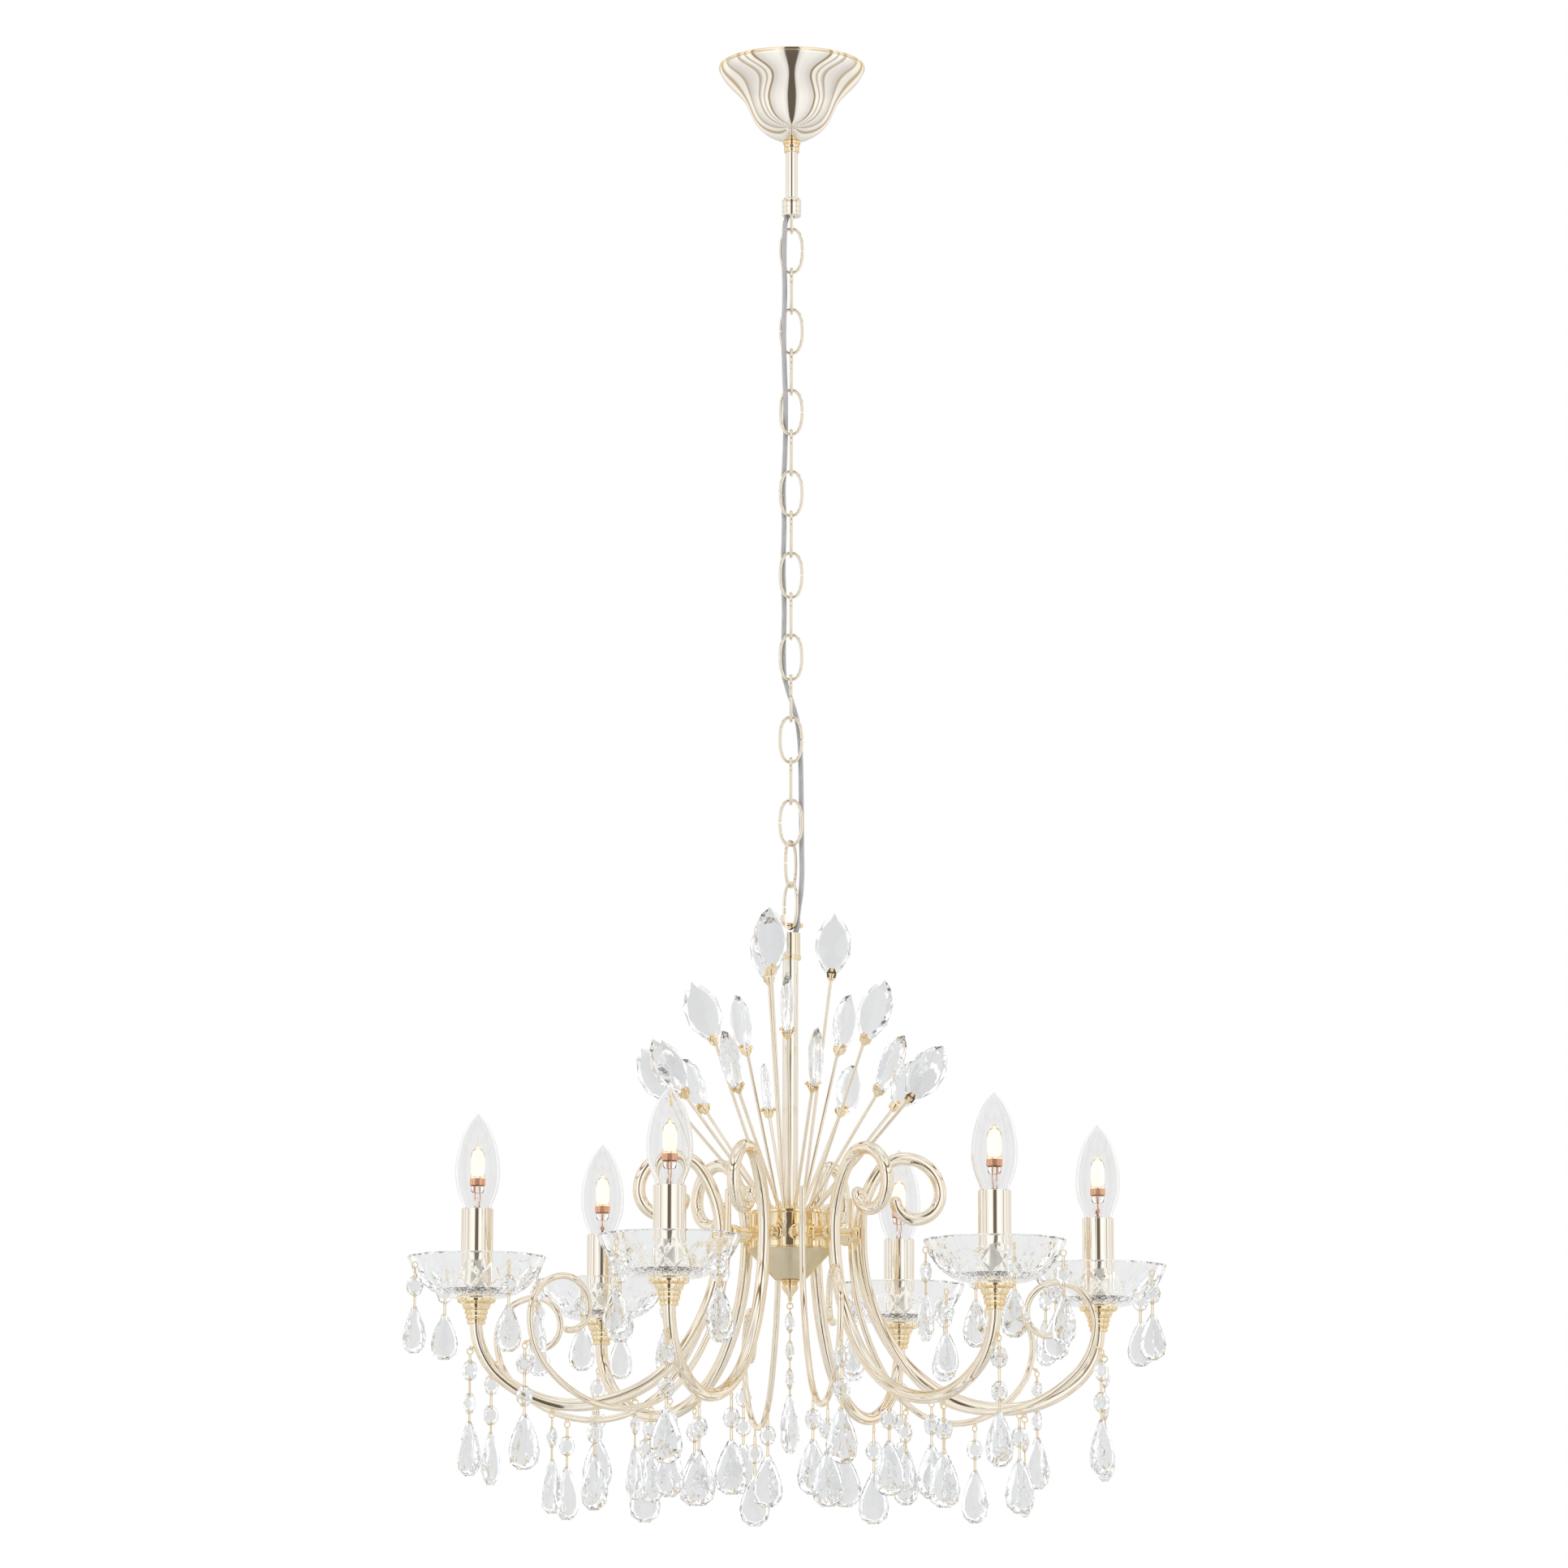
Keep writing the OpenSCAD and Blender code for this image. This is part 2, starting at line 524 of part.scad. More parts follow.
// The lead inside each arm, from the stem to the lampholder
module arm_wiring() color(smoke) {
  for (i = [0 : arm_count - 1]) at_candle(i, socket_z) rotate([180, 0, 0])
    bent_rod(wire_d, wired_bends, 6);
  ring_of(first_arm) translate([7, 0, stud_z]) rotate([0, 90, 0]) cylinder(d = wire_d, h = main_in_r - 7);
}

// Turned brass cup under each dish
module arm_cups() color(brass) for (i = [0 : arm_count - 1]) at_candle(i, 0) difference() {
  rotate_extrude() {
    polygon([[0, dish_seat_z], [15, dish_seat_z], [15, dish_seat_z - 2.2], [13, dish_seat_z - 4],
      [10.5, dish_seat_z - 4.6], [8.4, dish_seat_z - 12], [6.4, cup_bottom_z + 4],
      [6.4, cup_bottom_z], [0, cup_bottom_z]]);
    for (k = [0 : 3]) translate([9.2 - k * 0.8, dish_seat_z - 6.4 - k * 3.4]) circle(1.1);
    translate([5.4, cup_bottom_z + 1.6]) circle(1.6);
  }
  translate([0, 0, cup_bottom_z - 2]) cylinder(d = arm_d + 2 * fit, h = 40);
}

// ---------------------------------------------------------------- candles

module glass_dishes() color(crystal) for (i = [0 : arm_count - 1]) at_candle(i, dish_seat_z) {
  outside = curve([[17, 0], [dish_r - 20, 0], [dish_r - 6, dish_h * 0.4], [dish_r, dish_h]], 10);
  inside = curve([[dish_r - 3, dish_h], [dish_r - 9.5, dish_h * 0.5], [dish_r - 21, 3.5], [17, 3.5]], 10);
  rotate_extrude($fn = 96) polygon(concat([[5.2, 0]], outside, inside, [[5.2, 3.5]]));
}

module candle_sleeves() color(gold) for (i = [0 : arm_count - 1]) at_candle(i, sleeve_z) difference() {
  cylinder(d = sleeve_d, h = sleeve_l);
  translate([0, 0, -1]) cylinder(d = sleeve_d - 1.6, h = sleeve_l + 2);
}

// Lampholder on a threaded foot that clamps the dish to the cup
module lampholders() color(white) for (i = [0 : arm_count - 1]) at_candle(i, sleeve_z) difference() {
  union() {
    translate([0, 0, -4.8]) cylinder(r = 4.9, h = 6);
    cylinder(r = 11.4, h = 2);
    cylinder(r = 6, h = 24);
    translate([0, 0, 22]) cylinder(r = 10, h = sleeve_l - 26);
  }
  translate([0, 0, sleeve_l - 30]) cylinder(r = 7.1, h = 60);
  translate([0, 0, -6]) cylinder(r = 2.2, h = 60);
}

// Candle bulb: a clear hollow envelope, a screw base and the lit capsule on two wires
module bulb(i) color(white) at_candle(i, sleeve_top_z) {
  r = bulb_d / 2;
  outside = concat(curve([[7, -3.4], [9.6, -3.4], [10.4, 0], [11.6, 4]], 4),
    [for (k = [1 : 6]) curve_point([[11.6, 4], [15, 12], [r, 18], [r, 29]], k / 6)],
    [for (k = [1 : 9]) curve_point([[r, 29], [r, 48], [7.5, 62], [0.01, bulb_l]], k / 9)]);
  inside = [for (p = outside) [max(p[0] - 1, 0), p[1] + (p[1] > 55 ? -1.5 : 0.8)]];
  rotate_extrude() polygon(concat([[0, -3.4]], outside, [[0, bulb_l], [0, inside[len(inside) - 1][1]]],
    [for (k = [len(inside) - 1 : -1 : 0]) inside[k]], [[0, inside[0][1]]]));
  translate([0, 0, -26.4]) cylinder(r = 6.9, h = 23);
  translate([0, 0, -28]) cylinder(r = 4, h = 2);
  for (side = [-1, 1]) translate([side * 2, 0, -3]) cylinder(r = 0.5, h = 20);
  translate([0, 0, 14]) cylinder(r = 4.5, h = 34);
  translate([0, 0, 48]) sphere(4.5);
}

// ---------------------------------------------------------------- hanging crystals

module centre_strand() color(crystal) translate([0, 0, centre_hook[1]])
  strand(centre_hook, drop_l + 4, drop_w + 2, drop_t);

module arm_strand(i) color(crystal) rotate(first_arm + i * step_turn)
  translate([outer_hook[0], 0, outer_hook[1]]) rotate(90) strand(outer_hook);

module lower_drops() color(crystal) ring_of(first_arm) for (h = arm_hooks)
  translate([h[0], 0, h[1]]) rotate(90) strand(h);

module scroll_drops() color(crystal) ring_of(first_scroll) for (h = scroll_hooks)
  translate([h[0], 0, h[1]]) rotate(90) strand(h);

module dish_drops() color(crystal) for (i = [0 : arm_count - 1]) at_candle(i, 0)
  for (k = [0 : 3]) rotate(dish_turns[i] + 90 * k) translate([dish_hook[0], 0, dish_hook[1]])
    rotate(90) strand(dish_hook, 37, 21, 9);

// ---------------------------------------------------------------- the whole object

ceiling_bracket();
tube_nuts();
terminal_block();
canopy();
canopy_collar();
collar_screw();
down_tube();
chain_coupler();
coupler_loop();
for (i = [1 : link_count]) chain_link(i - 1);
power_cord();
stem_head();
fork_pin();
stem_tube();
hub_drum();
hub_cone();
hub_finial();
hub_fasteners();
leaf_stems();
leaf_claws();
leaf_crystals();
arm_wiring();
main_arms();
scroll_arms();
arm_cups();
glass_dishes();
candle_sleeves();
lampholders();
for (i = [1 : arm_count]) bulb(i - 1);
centre_strand();
for (i = [1 : arm_count]) arm_strand(i - 1);
lower_drops();
scroll_drops();
dish_drops();
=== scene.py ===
"""Six-light chandelier with cut glass dishes and crystals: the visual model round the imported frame.
Everything is built in millimetres and scaled to metres when it becomes a mesh."""
import math
import random

import bmesh
import bpy
from mathutils import Matrix, Vector

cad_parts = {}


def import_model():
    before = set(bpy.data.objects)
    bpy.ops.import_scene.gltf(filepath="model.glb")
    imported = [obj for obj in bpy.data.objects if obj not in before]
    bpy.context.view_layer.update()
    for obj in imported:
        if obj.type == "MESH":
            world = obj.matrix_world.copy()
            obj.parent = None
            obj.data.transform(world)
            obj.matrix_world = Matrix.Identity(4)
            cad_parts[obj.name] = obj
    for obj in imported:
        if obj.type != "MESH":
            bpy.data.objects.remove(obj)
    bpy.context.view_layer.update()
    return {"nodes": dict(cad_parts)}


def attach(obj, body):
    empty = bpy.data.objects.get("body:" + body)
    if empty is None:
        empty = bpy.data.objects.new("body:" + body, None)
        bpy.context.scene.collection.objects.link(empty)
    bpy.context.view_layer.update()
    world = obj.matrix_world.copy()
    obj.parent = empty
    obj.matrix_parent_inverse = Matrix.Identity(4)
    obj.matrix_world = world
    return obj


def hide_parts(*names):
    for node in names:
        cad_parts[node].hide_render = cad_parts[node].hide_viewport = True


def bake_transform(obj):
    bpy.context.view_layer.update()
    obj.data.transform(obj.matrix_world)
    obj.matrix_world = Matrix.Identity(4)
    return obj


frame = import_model()
MM = 0.001
TAU = 2 * math.pi
draw = random.Random(7)

# ------------------------------------------------------------------ sizes, as in part.scad
ARMS = 6
STEP = 360 / ARMS
FIRST_ARM = -51.4
FIRST_SCROLL = FIRST_ARM - STEP / 2
CANDLE_R = 247.0
DISH_SEAT_Z = -1004.5
SLEEVE_Z = DISH_SEAT_Z + 3.5
SLEEVE_TOP_Z = SLEEVE_Z + 66
SOCKET_Z = -1006.0
CUP_BOTTOM_Z = -1025.0
HUB_TOP_Z = -933.4
HUB_BOTTOM_Z = -963.4
FINIAL_TOP_Z = -986.9
STUD_Z = -952.1
COUPLER_BOTTOM_Z = -125.5
LINKS = 17
WIRE_R = 1.3
LINK_BEND_R = 8.55
LINK_REACH = 18.2
LINK_PITCH = 33.5
FIRST_LINK_Z = -154.1
LOOP_Z = FIRST_LINK_Z + LINK_REACH - 2.9
LOOP_BEND_R = 4.2
LINK_TURNS = [{12: 4, 14: -6, 15: 62, 16: 125}.get(i, 90 * (i % 2)) for i in range(LINKS)]
MAIN_BENDS = [(0, 18), (54.5, 50), (89.5, 40), (106, 55), (156, 35), (89, 35), (25.5, 55),
              (28, 90), (20, 90), (16, 80)]
SCROLL_BENDS = [(0, 35), (168, 40), (83, 50), (102, 45), (51, 45), (32.5, 90), (23, 90), (18, 100)]
SCROLL_IN = (62, -921)
# leaves, wire root radius, claw radius, claw height, lean, first direction
LEAF_TIERS = [(3, 9.5, 32, -750, 6, -118), (5, 15.5, 61, -804, 23, -92), (10, 21, 92, -849, 33, -79.5)]
CLAW_H = 7
# distance from the axis, height of the ring, beads, bead pitch
OUTER_HOOK = (251.5, -1046, 2, 25.5)
ARM_HOOKS = [(187, -1094.4, 1, 31), (122, -1084.3, 1, 30)]
SCROLL_HOOKS = [(256.5, -1050, 2, 24), (190, -1096.6, 1, 30), (118, -1086.5, 1, 28)]
DISH_HOOK = (53.8, DISH_SEAT_Z + 23.5, 1, 29)
CENTRE_HOOK = (0, -1007.5, 3, 22)
DISH_TURNS = [65, 40, 66, 36, 22, 66]
CORD_ROUTE = [
    (14, 0, -12), (14, 0, -8), (12.8, 0, -4.4), (9.5, 0, -2.4), (4.5, 0, -2.3), (1.2, 0, -3.9),
    (0, 0, -8), (0, 0, -60), (0, 0, -111), (-1.2, 0, -114), (-3.2, 0, -118.5), (-3.8, 0, -126),
    (-5, -3.2, -131), (-5.5, -4.6, -137), (-6, -4.8, -160), (-5.4, -4.6, -190), (-6.2, -4.8, -225),
    (-5.4, -4.6, -258), (-4.6, -4.6, -276), (-4.6, -2.4, -283), (-4.6, 2.4, -293),
    (-4.6, 4.6, -300), (-5.2, 4.8, -325), (-6.4, 5, -350), (-5.6, 4.8, -380), (-6.4, 5, -415),
    (-5.4, 4.8, -450), (-6, 4.8, -480), (-5.5, 4.6, -503), (-3.4, 4.6, -511.5), (0, 4.6, -522.5),
    (3.4, 4.6, -533.5), (5.4, 4.7, -542), (7.4, 5, -560), (8.2, 5.2, -590), (8.6, 5.2, -622),
    (8.8, 5, -646), (9, 2, -664), (8.2, -1, -680), (6.6, -1.8, -691), (5.6, -1.7, -699),
    (5.5, -1.6, -707), (3.8, -1.1, -711.5), (1.6, -0.5, -717), (0, 0, -724), (0, 0, -830),
    (0, 0, -935)]


# ------------------------------------------------------------------ materials
def nodes_of(name):
    mat = bpy.data.materials.new(name)
    mat.use_nodes = True
    return mat, mat.node_tree.nodes, mat.node_tree.links, mat.node_tree.nodes["Principled BSDF"]


def noise(nodes, links, scale, detail=3.0, stretch=(1, 1, 1)):
    """A noise texture on the object's own coordinates."""
    where = nodes.new("ShaderNodeTexCoord")
    turn = nodes.new("ShaderNodeMapping")
    turn.inputs["Scale"].default_value = stretch
    tex = nodes.new("ShaderNodeTexNoise")
    tex.inputs["Scale"].default_value = scale
    tex.inputs["Detail"].default_value = detail
    links.new(where.outputs["Object"], turn.inputs["Vector"])
    links.new(turn.outputs["Vector"], tex.inputs["Vector"])
    return tex.outputs["Fac"]


def spread(nodes, links, fac, low, high):
    ranged = nodes.new("ShaderNodeMapRange")
    ranged.inputs["From Min"].default_value = 0.35
    ranged.inputs["From Max"].default_value = 0.65
    ranged.inputs["To Min"].default_value = low
    ranged.inputs["To Max"].default_value = high
    links.new(fac, ranged.inputs["Value"])
    return ranged.outputs["Result"]


def mixed(nodes, links, fac, a, b):
    mix = nodes.new("ShaderNodeMix")
    mix.data_type = "RGBA"
    mix.inputs["A"].default_value = (*a, 1)
    mix.inputs["B"].default_value = (*b, 1)
    links.new(fac, mix.inputs["Factor"])
    return mix.outputs["Result"]


def bumped(nodes, links, bsdf, height, strength, distance):
    bump = nodes.new("ShaderNodeBump")
    bump.inputs["Strength"].default_value = strength
    bump.inputs["Distance"].default_value = distance
    links.new(height, bump.inputs["Height"])
    links.new(bump.outputs["Normal"], bsdf.inputs["Normal"])


def plated(name, light, deep, edge, rough_low, rough_high, peel=0.04):
    """Polished plating: slow drifts of tone, fine wipe marks in its gloss and a faint orange peel."""
    mat, nodes, links, bsdf = nodes_of(name)
    bsdf.inputs["Metallic"].default_value = 1.0
    bsdf.inputs["Specular Tint"].default_value = (*edge, 1)
    tone = spread(nodes, links, noise(nodes, links, 22, 2), 0, 1)
    links.new(mixed(nodes, links, tone, light, deep), bsdf.inputs["Base Color"])
    wipe = noise(nodes, links, 260, 5, (1, 1, 0.12))
    links.new(spread(nodes, links, wipe, rough_low, rough_high), bsdf.inputs["Roughness"])
    bumped(nodes, links, bsdf, noise(nodes, links, 420, 2), peel, 0.0002)
    return mat


CHAMPAGNE = plated("champagne_plating", (0.94, 0.875, 0.76), (0.91, 0.83, 0.69), (1.0, 0.93, 0.82),
                   0.02, 0.06, 0.015)
PALE = plated("pale_champagne_plating", (0.945, 0.905, 0.83), (0.92, 0.875, 0.79), (1.0, 0.96, 0.90),
              0.02, 0.06, 0.015)
GOLD = plated("gold_plating", (0.94, 0.83, 0.62), (0.91, 0.77, 0.52), (1.0, 0.86, 0.64), 0.02, 0.07, 0.015)
SATIN = plated("satin_champagne", (0.82, 0.74, 0.55), (0.74, 0.65, 0.46), (1.0, 0.9, 0.7), 0.30, 0.42,
               0.10)
ZINC = plated("zinc_plating", (0.62, 0.62, 0.60), (0.52, 0.53, 0.53), (1, 1, 1), 0.25, 0.45, 0.15)
COPPER = plated("copper_strap", (0.85, 0.48, 0.30), (0.75, 0.38, 0.22), (1, 0.7, 0.5), 0.15, 0.3)


def clear(name, colour, ior, rough, speck=0.0, through=1.0, painted_glow=0.0):
    """Clear glass. speck is the swirl of pressed glass, through how clear it is, painted_glow a painted glow:
    a faint white light the glass gives off though it is no lamp, which lifts its darks."""
    mat, nodes, links, bsdf = nodes_of(name)
    bsdf.inputs["Transmission Weight"].default_value = through
    bsdf.inputs["IOR"].default_value = ior
    # painted glow: white emission on the glass, which is no lamp, lifts its darks
    bsdf.inputs["Emission Color"].default_value = (1, 1, 1, 1)
    bsdf.inputs["Emission Strength"].default_value = painted_glow
    tone = spread(nodes, links, noise(nodes, links, 35, 2), 0, 1)
    shade = tuple(c * 0.985 for c in colour)
    links.new(mixed(nodes, links, tone, colour, shade), bsdf.inputs["Base Color"])
    links.new(spread(nodes, links, noise(nodes, links, 90, 3), rough, rough + 0.01),
              bsdf.inputs["Roughness"])
    if speck:
        bumped(nodes, links, bsdf, noise(nodes, links, 60, 2), speck, 0.0006)
    return mat


# the last number of the crystal and the cut glass is a painted glow that lifts their darks
CRYSTAL = clear("cut_crystal", (0.885, 0.89, 0.895), 1.50, 0.0, 0.0, 1.0, 0.012)
CUT_GLASS = clear("cut_glass", (0.965, 0.97, 0.972), 1.44, 0.0, 0.10, 1.0, 0.018)
THIN_GLASS = clear("bulb_glass", (0.995, 0.995, 0.995), 1.45, 0.0)
JACKET = clear("clear_jacket", (0.80, 0.80, 0.81), 1.12, 0.10, 0.0, 0.35)
WARM_GLASS = clear("capsule_glass", (1.0, 0.90, 0.77), 1.2, 0.0)


def plastic(name, light, deep, rough_low, rough_high):
    mat, nodes, links, bsdf = nodes_of(name)
    tone = spread(nodes, links, noise(nodes, links, 120, 4), 0, 1)
    links.new(mixed(nodes, links, tone, light, deep), bsdf.inputs["Base Color"])
    links.new(spread(nodes, links, noise(nodes, links, 500, 2), rough_low, rough_high),
              bsdf.inputs["Roughness"])
    bumped(nodes, links, bsdf, noise(nodes, links, 900, 2), 0.15, 0.0002)
    return mat


WHITE_PLASTIC = plastic("white_thermoplastic", (0.86, 0.86, 0.84), (0.80, 0.80, 0.77), 0.4, 0.55)
LEAD = plastic("lead_insulation", (0.70, 0.69, 0.66), (0.62, 0.61, 0.58), 0.3, 0.45)


def conductor():
    """Tinned strands laid up with a short twist."""
    mat, nodes, links, bsdf = nodes_of("tinned_strands")
    bsdf.inputs["Metallic"].default_value = 0.3
    tone = spread(nodes, links, noise(nodes, links, 700, 3, (1, 1, 0.3)), 0, 1)
    links.new(mixed(nodes, links, tone, (0.84, 0.84, 0.85), (0.66, 0.66, 0.68)),
              bsdf.inputs["Base Color"])
    bsdf.inputs["Roughness"].default_value = 0.4
    bumped(nodes, links, bsdf, noise(nodes, links, 1200, 2), 0.4, 0.0003)
    return mat


def glowing():
    """The lit capsule: its light drifts at random between nearly white and warmer."""
    mat, nodes, links, bsdf = nodes_of("lit_capsule")
    tone = spread(nodes, links, noise(nodes, links, 160, 2), 0, 1)
    colour = mixed(nodes, links, tone, (1.0, 0.97, 0.90), (1.0, 0.92, 0.78))
    links.new(colour, bsdf.inputs["Base Color"])
    links.new(colour, bsdf.inputs["Emission Color"])
    bsdf.inputs["Emission Strength"].default_value = 1.5
    bsdf.inputs["Roughness"].default_value = 0.4
    return mat


STRANDS = conductor()
LIT = glowing()


# ------------------------------------------------------------------ shapes
class Shape:
    """Vertices in millimetres and faces, each face with the number of its material."""

    def __init__(self, v=(), f=(), m=0):
        self.v = [Vector(p) for p in v]
        self.f = [tuple(face) for face in f]
        self.m = [m] * len(self.f)

    def add(self, other, at=Matrix.Identity(4), m=None):
        first = len(self.v)
        self.v += [at @ p for p in other.v]
        self.f += [tuple(i + first for i in face) for face in other.f]
        self.m += other.m if m is None else [m] * len(other.f)
        return self


def move(x=0.0, y=0.0, z=0.0):
    return Matrix.Translation((x, y, z))


def turn(degrees, axis="Z"):
    return Matrix.Rotation(math.radians(degrees), 4, axis)


def at_candle(i, z):
    return turn(FIRST_ARM + i * STEP) @ move(CANDLE_R, 0, z)


def lathe(profile, n=64, closed=False, bend=None):
    """Turns a list of (radius, height) about Z. bend(r, z, angle, j) may move a point."""
    v, f, rows = [], [], []
    for j, (r, z) in enumerate(profile):
        if r < 1e-6:
            rows.append([len(v)])
            v.append((0, 0, z))
            continue
        rows.append(list(range(len(v), len(v) + n)))
        for k in range(n):
            a = TAU * k / n
            rr, zz = bend(r, z, a, j) if bend else (r, z)
            v.append((rr * math.cos(a), rr * math.sin(a), zz))
    pairs = list(zip(rows, rows[1:])) + ([(rows[-1], rows[0])] if closed else [])
    for low, high in pairs:
        for k in range(n):
            face = [low[k % len(low)], low[(k + 1) % n % len(low)],
                    high[(k + 1) % n % len(high)], high[k % len(high)]]
            face = list(dict.fromkeys(face))
            if len(face) > 2:
                f.append(face)
    return Shape(v, f)


def sweep(path, radius, n=16, ends="round", closed=False, flat=1.0):
    """A round wire along a path. ends: round, flat or open. flat squeezes it across its binormal."""
    path = [Vector(p) for p in path]
    count = len(path)

    def way(i):
        a, b = (i - 1, i + 1) if closed else (max(i - 1, 0), min(i + 1, count - 1))
        return (path[b % count] - path[a % count]).normalized()

    first = way(0)
    side = first.cross(Vector((0, 1, 0)) if abs(first.y) < 0.9 else Vector((1, 0, 0))).normalized()
    rings, last = [], first
    for i, p in enumerate(path):
        w = way(i)
        side = (last.rotation_difference(w) @ side)
        side = (side - w * side.dot(w)).normalized()
        last = w
        rings.append((p, side.copy(), w.cross(side), radius, w))
    if ends == "round" and not closed:
        caps = [0.98, 0.8, 0.5, 0.2]
        p, s, u, r, w = rings[0]
        head = [(p - w * r * math.sqrt(1 - c * c), s, u, r * c, w) for c in reversed(caps)]
        p, s, u, r, w = rings[-1]
        tail = [(p + w * r * math.sqrt(1 - c * c), s, u, r * c, w) for c in caps]
        rings = head + rings + tail
    v, f = [], []
    for p, s, u, r, _w in rings:
        for k in range(n):
            a = TAU * k / n
            v.append(p + s * (r * math.cos(a)) + u * (r * flat * math.sin(a)))
    m = len(rings)
    for j in range(m if closed else m - 1):
        for k in range(n):
            a, b = j * n, (j + 1) % m * n
            f.append((a + k, a + (k + 1) % n, b + (k + 1) % n, b + k))
    if not closed and ends != "open":
        f.append(tuple(reversed(range(n))))
        f.append(tuple((m - 1) * n + k for k in range(n)))
    return Shape(v, f)


def smooth_path(points, step):
    """A Catmull-Rom curve through the points, with a point about every step millimetres."""
    pts = [Vector(p) for p in points]
    out = []
    for i in range(len(pts) - 1):
        a, b, c, d = pts[max(i - 1, 0)], pts[i], pts[i + 1], pts[min(i + 2, len(pts) - 1)]
        ta = (c - a) * 0.5 if (c - a).length > 0 else c - b
        tb = (d - b) * 0.5
        reach = (c - b).length
        ta = ta.normalized() * min(ta.length, reach)
        tb = tb.normalized() * min(tb.length, reach)
        n = max(1, round(reach / step))
        for k in range(n):
            t = k / n
            out.append(b * (2 * t**3 - 3 * t**2 + 1) + ta * (t**3 - 2 * t**2 + t)
                       + c * (3 * t**2 - 2 * t**3) + tb * (t**3 - t**2))
    out.append(pts[-1])
    return out


def cubic(a, b, c, d, n):
    """A Bezier curve from a to d in n steps, as (radius, height) points."""
    return [tuple((1 - t)**3 * a[i] + 3 * (1 - t)**2 * t * b[i] + 3 * (1 - t) * t * t * c[i] + t**3 * d[i]
                  for i in (0, 1)) for t in [k / n for k in range(n + 1)]]


def bend_path(steps, every=4):
    """The centre line of a bent tube that starts up +Z and bends towards -X, as (x, z)."""
    x = z = way = 0.0
    out = [(x, z)]
    for r, a in steps:
        if r == 0:
            x, z = x - a * math.sin(way), z + a * math.cos(way)
            out.append((x, z))
            continue
        n = max(1, math.ceil(a / every))
        x0, z0, w0 = x, z, way
        for k in range(1, n + 1):
            way = w0 + math.radians(a) * k / n
            x = x0 + r * (math.cos(way) - math.cos(w0))
            z = z0 + r * (math.sin(way) - math.sin(w0))
            out.append((x, z))
    return out


def ring(r, wire, n=40, sides=12):
    """A hoop of wire in the XZ plane."""
    return sweep([(r * math.cos(TAU * k / n), 0, r * math.sin(TAU * k / n)) for k in range(n)], wire,
                 sides, closed=True)


def ball(r, z=0.0, n=24):
    half = n // 2
    return lathe([(max(r * math.sin(math.pi * k / half), 0), z - r * math.cos(math.pi * k / half))
                  if 0 < k < half else (0, z + (r if k else -r)) for k in range(half + 1)], n)


def gem(outline, t, centre, front=(0.78, 0.33, 0.14, 0.49), back=(0.84, 0.30, 0.45, 0.44), edge=0.6):
    """A flat cut stone in the XZ plane, t thick, with a star of facets on both faces."""
    n = len(outline)
    cx, cz = centre
    v, f = [], []
    for x, z in outline:
        v.append((x, -edge, z))
    for x, z in outline:
        v.append((x, edge, z))
    for k in range(n):
        f.append((k, (k + 1) % n, n + (k + 1) % n, n + k))
    for side, (outer, y1, inner, y2) in ((-1, front), (1, back)):
        girdle = 0 if side < 0 else n
        mid = len(v)
        for k in range(n):
            (xa, za), (xb, zb) = outline[k], outline[(k + 1) % n]
            x, z = (xa + xb) / 2, (za + zb) / 2
            v.append((cx + (x - cx) * outer, side * t * y1, cz + (z - cz) * outer))
        top = len(v)
        for x, z in outline:
            v.append((cx + (x - cx) * inner, side * t * y2, cz + (z - cz) * inner))
        v.append((cx, side * t * 0.5, cz))
        tip = len(v) - 1
        for k in range(n):
            nxt, prv = (k + 1) % n, (k - 1) % n
            faces = [(girdle + k, girdle + nxt, mid + k), (girdle + k, mid + k, mid + prv),
                     (mid + prv, mid + k, top + k), (mid + k, top + nxt, top + k),
                     (top + k, top + nxt, tip)]
            f += faces
    return Shape(v, f)


def pear(length, width, n=12):
    """Outline of a drop, hanging from z = 0."""
    out = []
    for k in range(n):
        a = TAU * (k + 0.5) / n
        s = (1 - math.cos(a)) / 2
        half = width / 2 * math.sin(a) * (0.42 + 0.80 * s**0.9)
        out.append((half * 1.02, -length * s**0.90))
    return out


def marquise(length, width, n=10):
    """Outline of a leaf: pointed at the top, narrow at its foot."""
    out = []
    for k in range(n):
        a = TAU * k / n
        s = (1 + math.cos(a)) / 2
        half = width / 2 * math.sin(a) * (1 - 0.10 * math.cos(2 * a))
        half *= 1.08 if 0.2 < s < 0.7 else 0.94
        out.append((half, length * s))
    return out


def disc(r, n=8, phase=0.5):
    return [(r * math.cos(TAU * (k + phase) / n), r * math.sin(TAU * (k + phase) / n)) for k in range(n)]


def mesh_object(name, shape, mats, sharp):
    me = bpy.data.meshes.new(name)
    me.from_pydata([p * MM for p in shape.v], [], shape.f)
    for mat in mats:
        me.materials.append(mat)
    me.polygons.foreach_set("material_index", shape.m)
    bm = bmesh.new()
    bm.from_mesh(me)
    bmesh.ops.recalc_face_normals(bm, faces=bm.faces)
    bm.to_mesh(me)
    bm.free()
    if sharp:
        me.shade_smooth()
        me.set_sharp_from_angle(angle=math.radians(sharp))
    else:
        me.shade_flat()
    ob = bpy.data.objects.new(name, me)
    bpy.context.scene.collection.objects.link(ob)
    return ob


def piece(name, shape, mats, body, cad=(), sharp=35):
    """Makes a mesh, lets it ride on a body and stand for CAD nodes."""
    mats = mats if isinstance(mats, (list, tuple)) else [mats]
    ob = mesh_object(name, shape, mats, sharp)
    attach(ob, body)
    if cad:
        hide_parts(*([cad] if isinstance(cad, str) else cad))
    return ob


def finish_node(node, mat):
    """A CAD node that stays gets a finish."""
    ob = frame["nodes"][node]
    ob.data.materials.clear()
    ob.data.materials.append(mat)
    for polygon in ob.data.polygons:
        polygon.material_index = 0


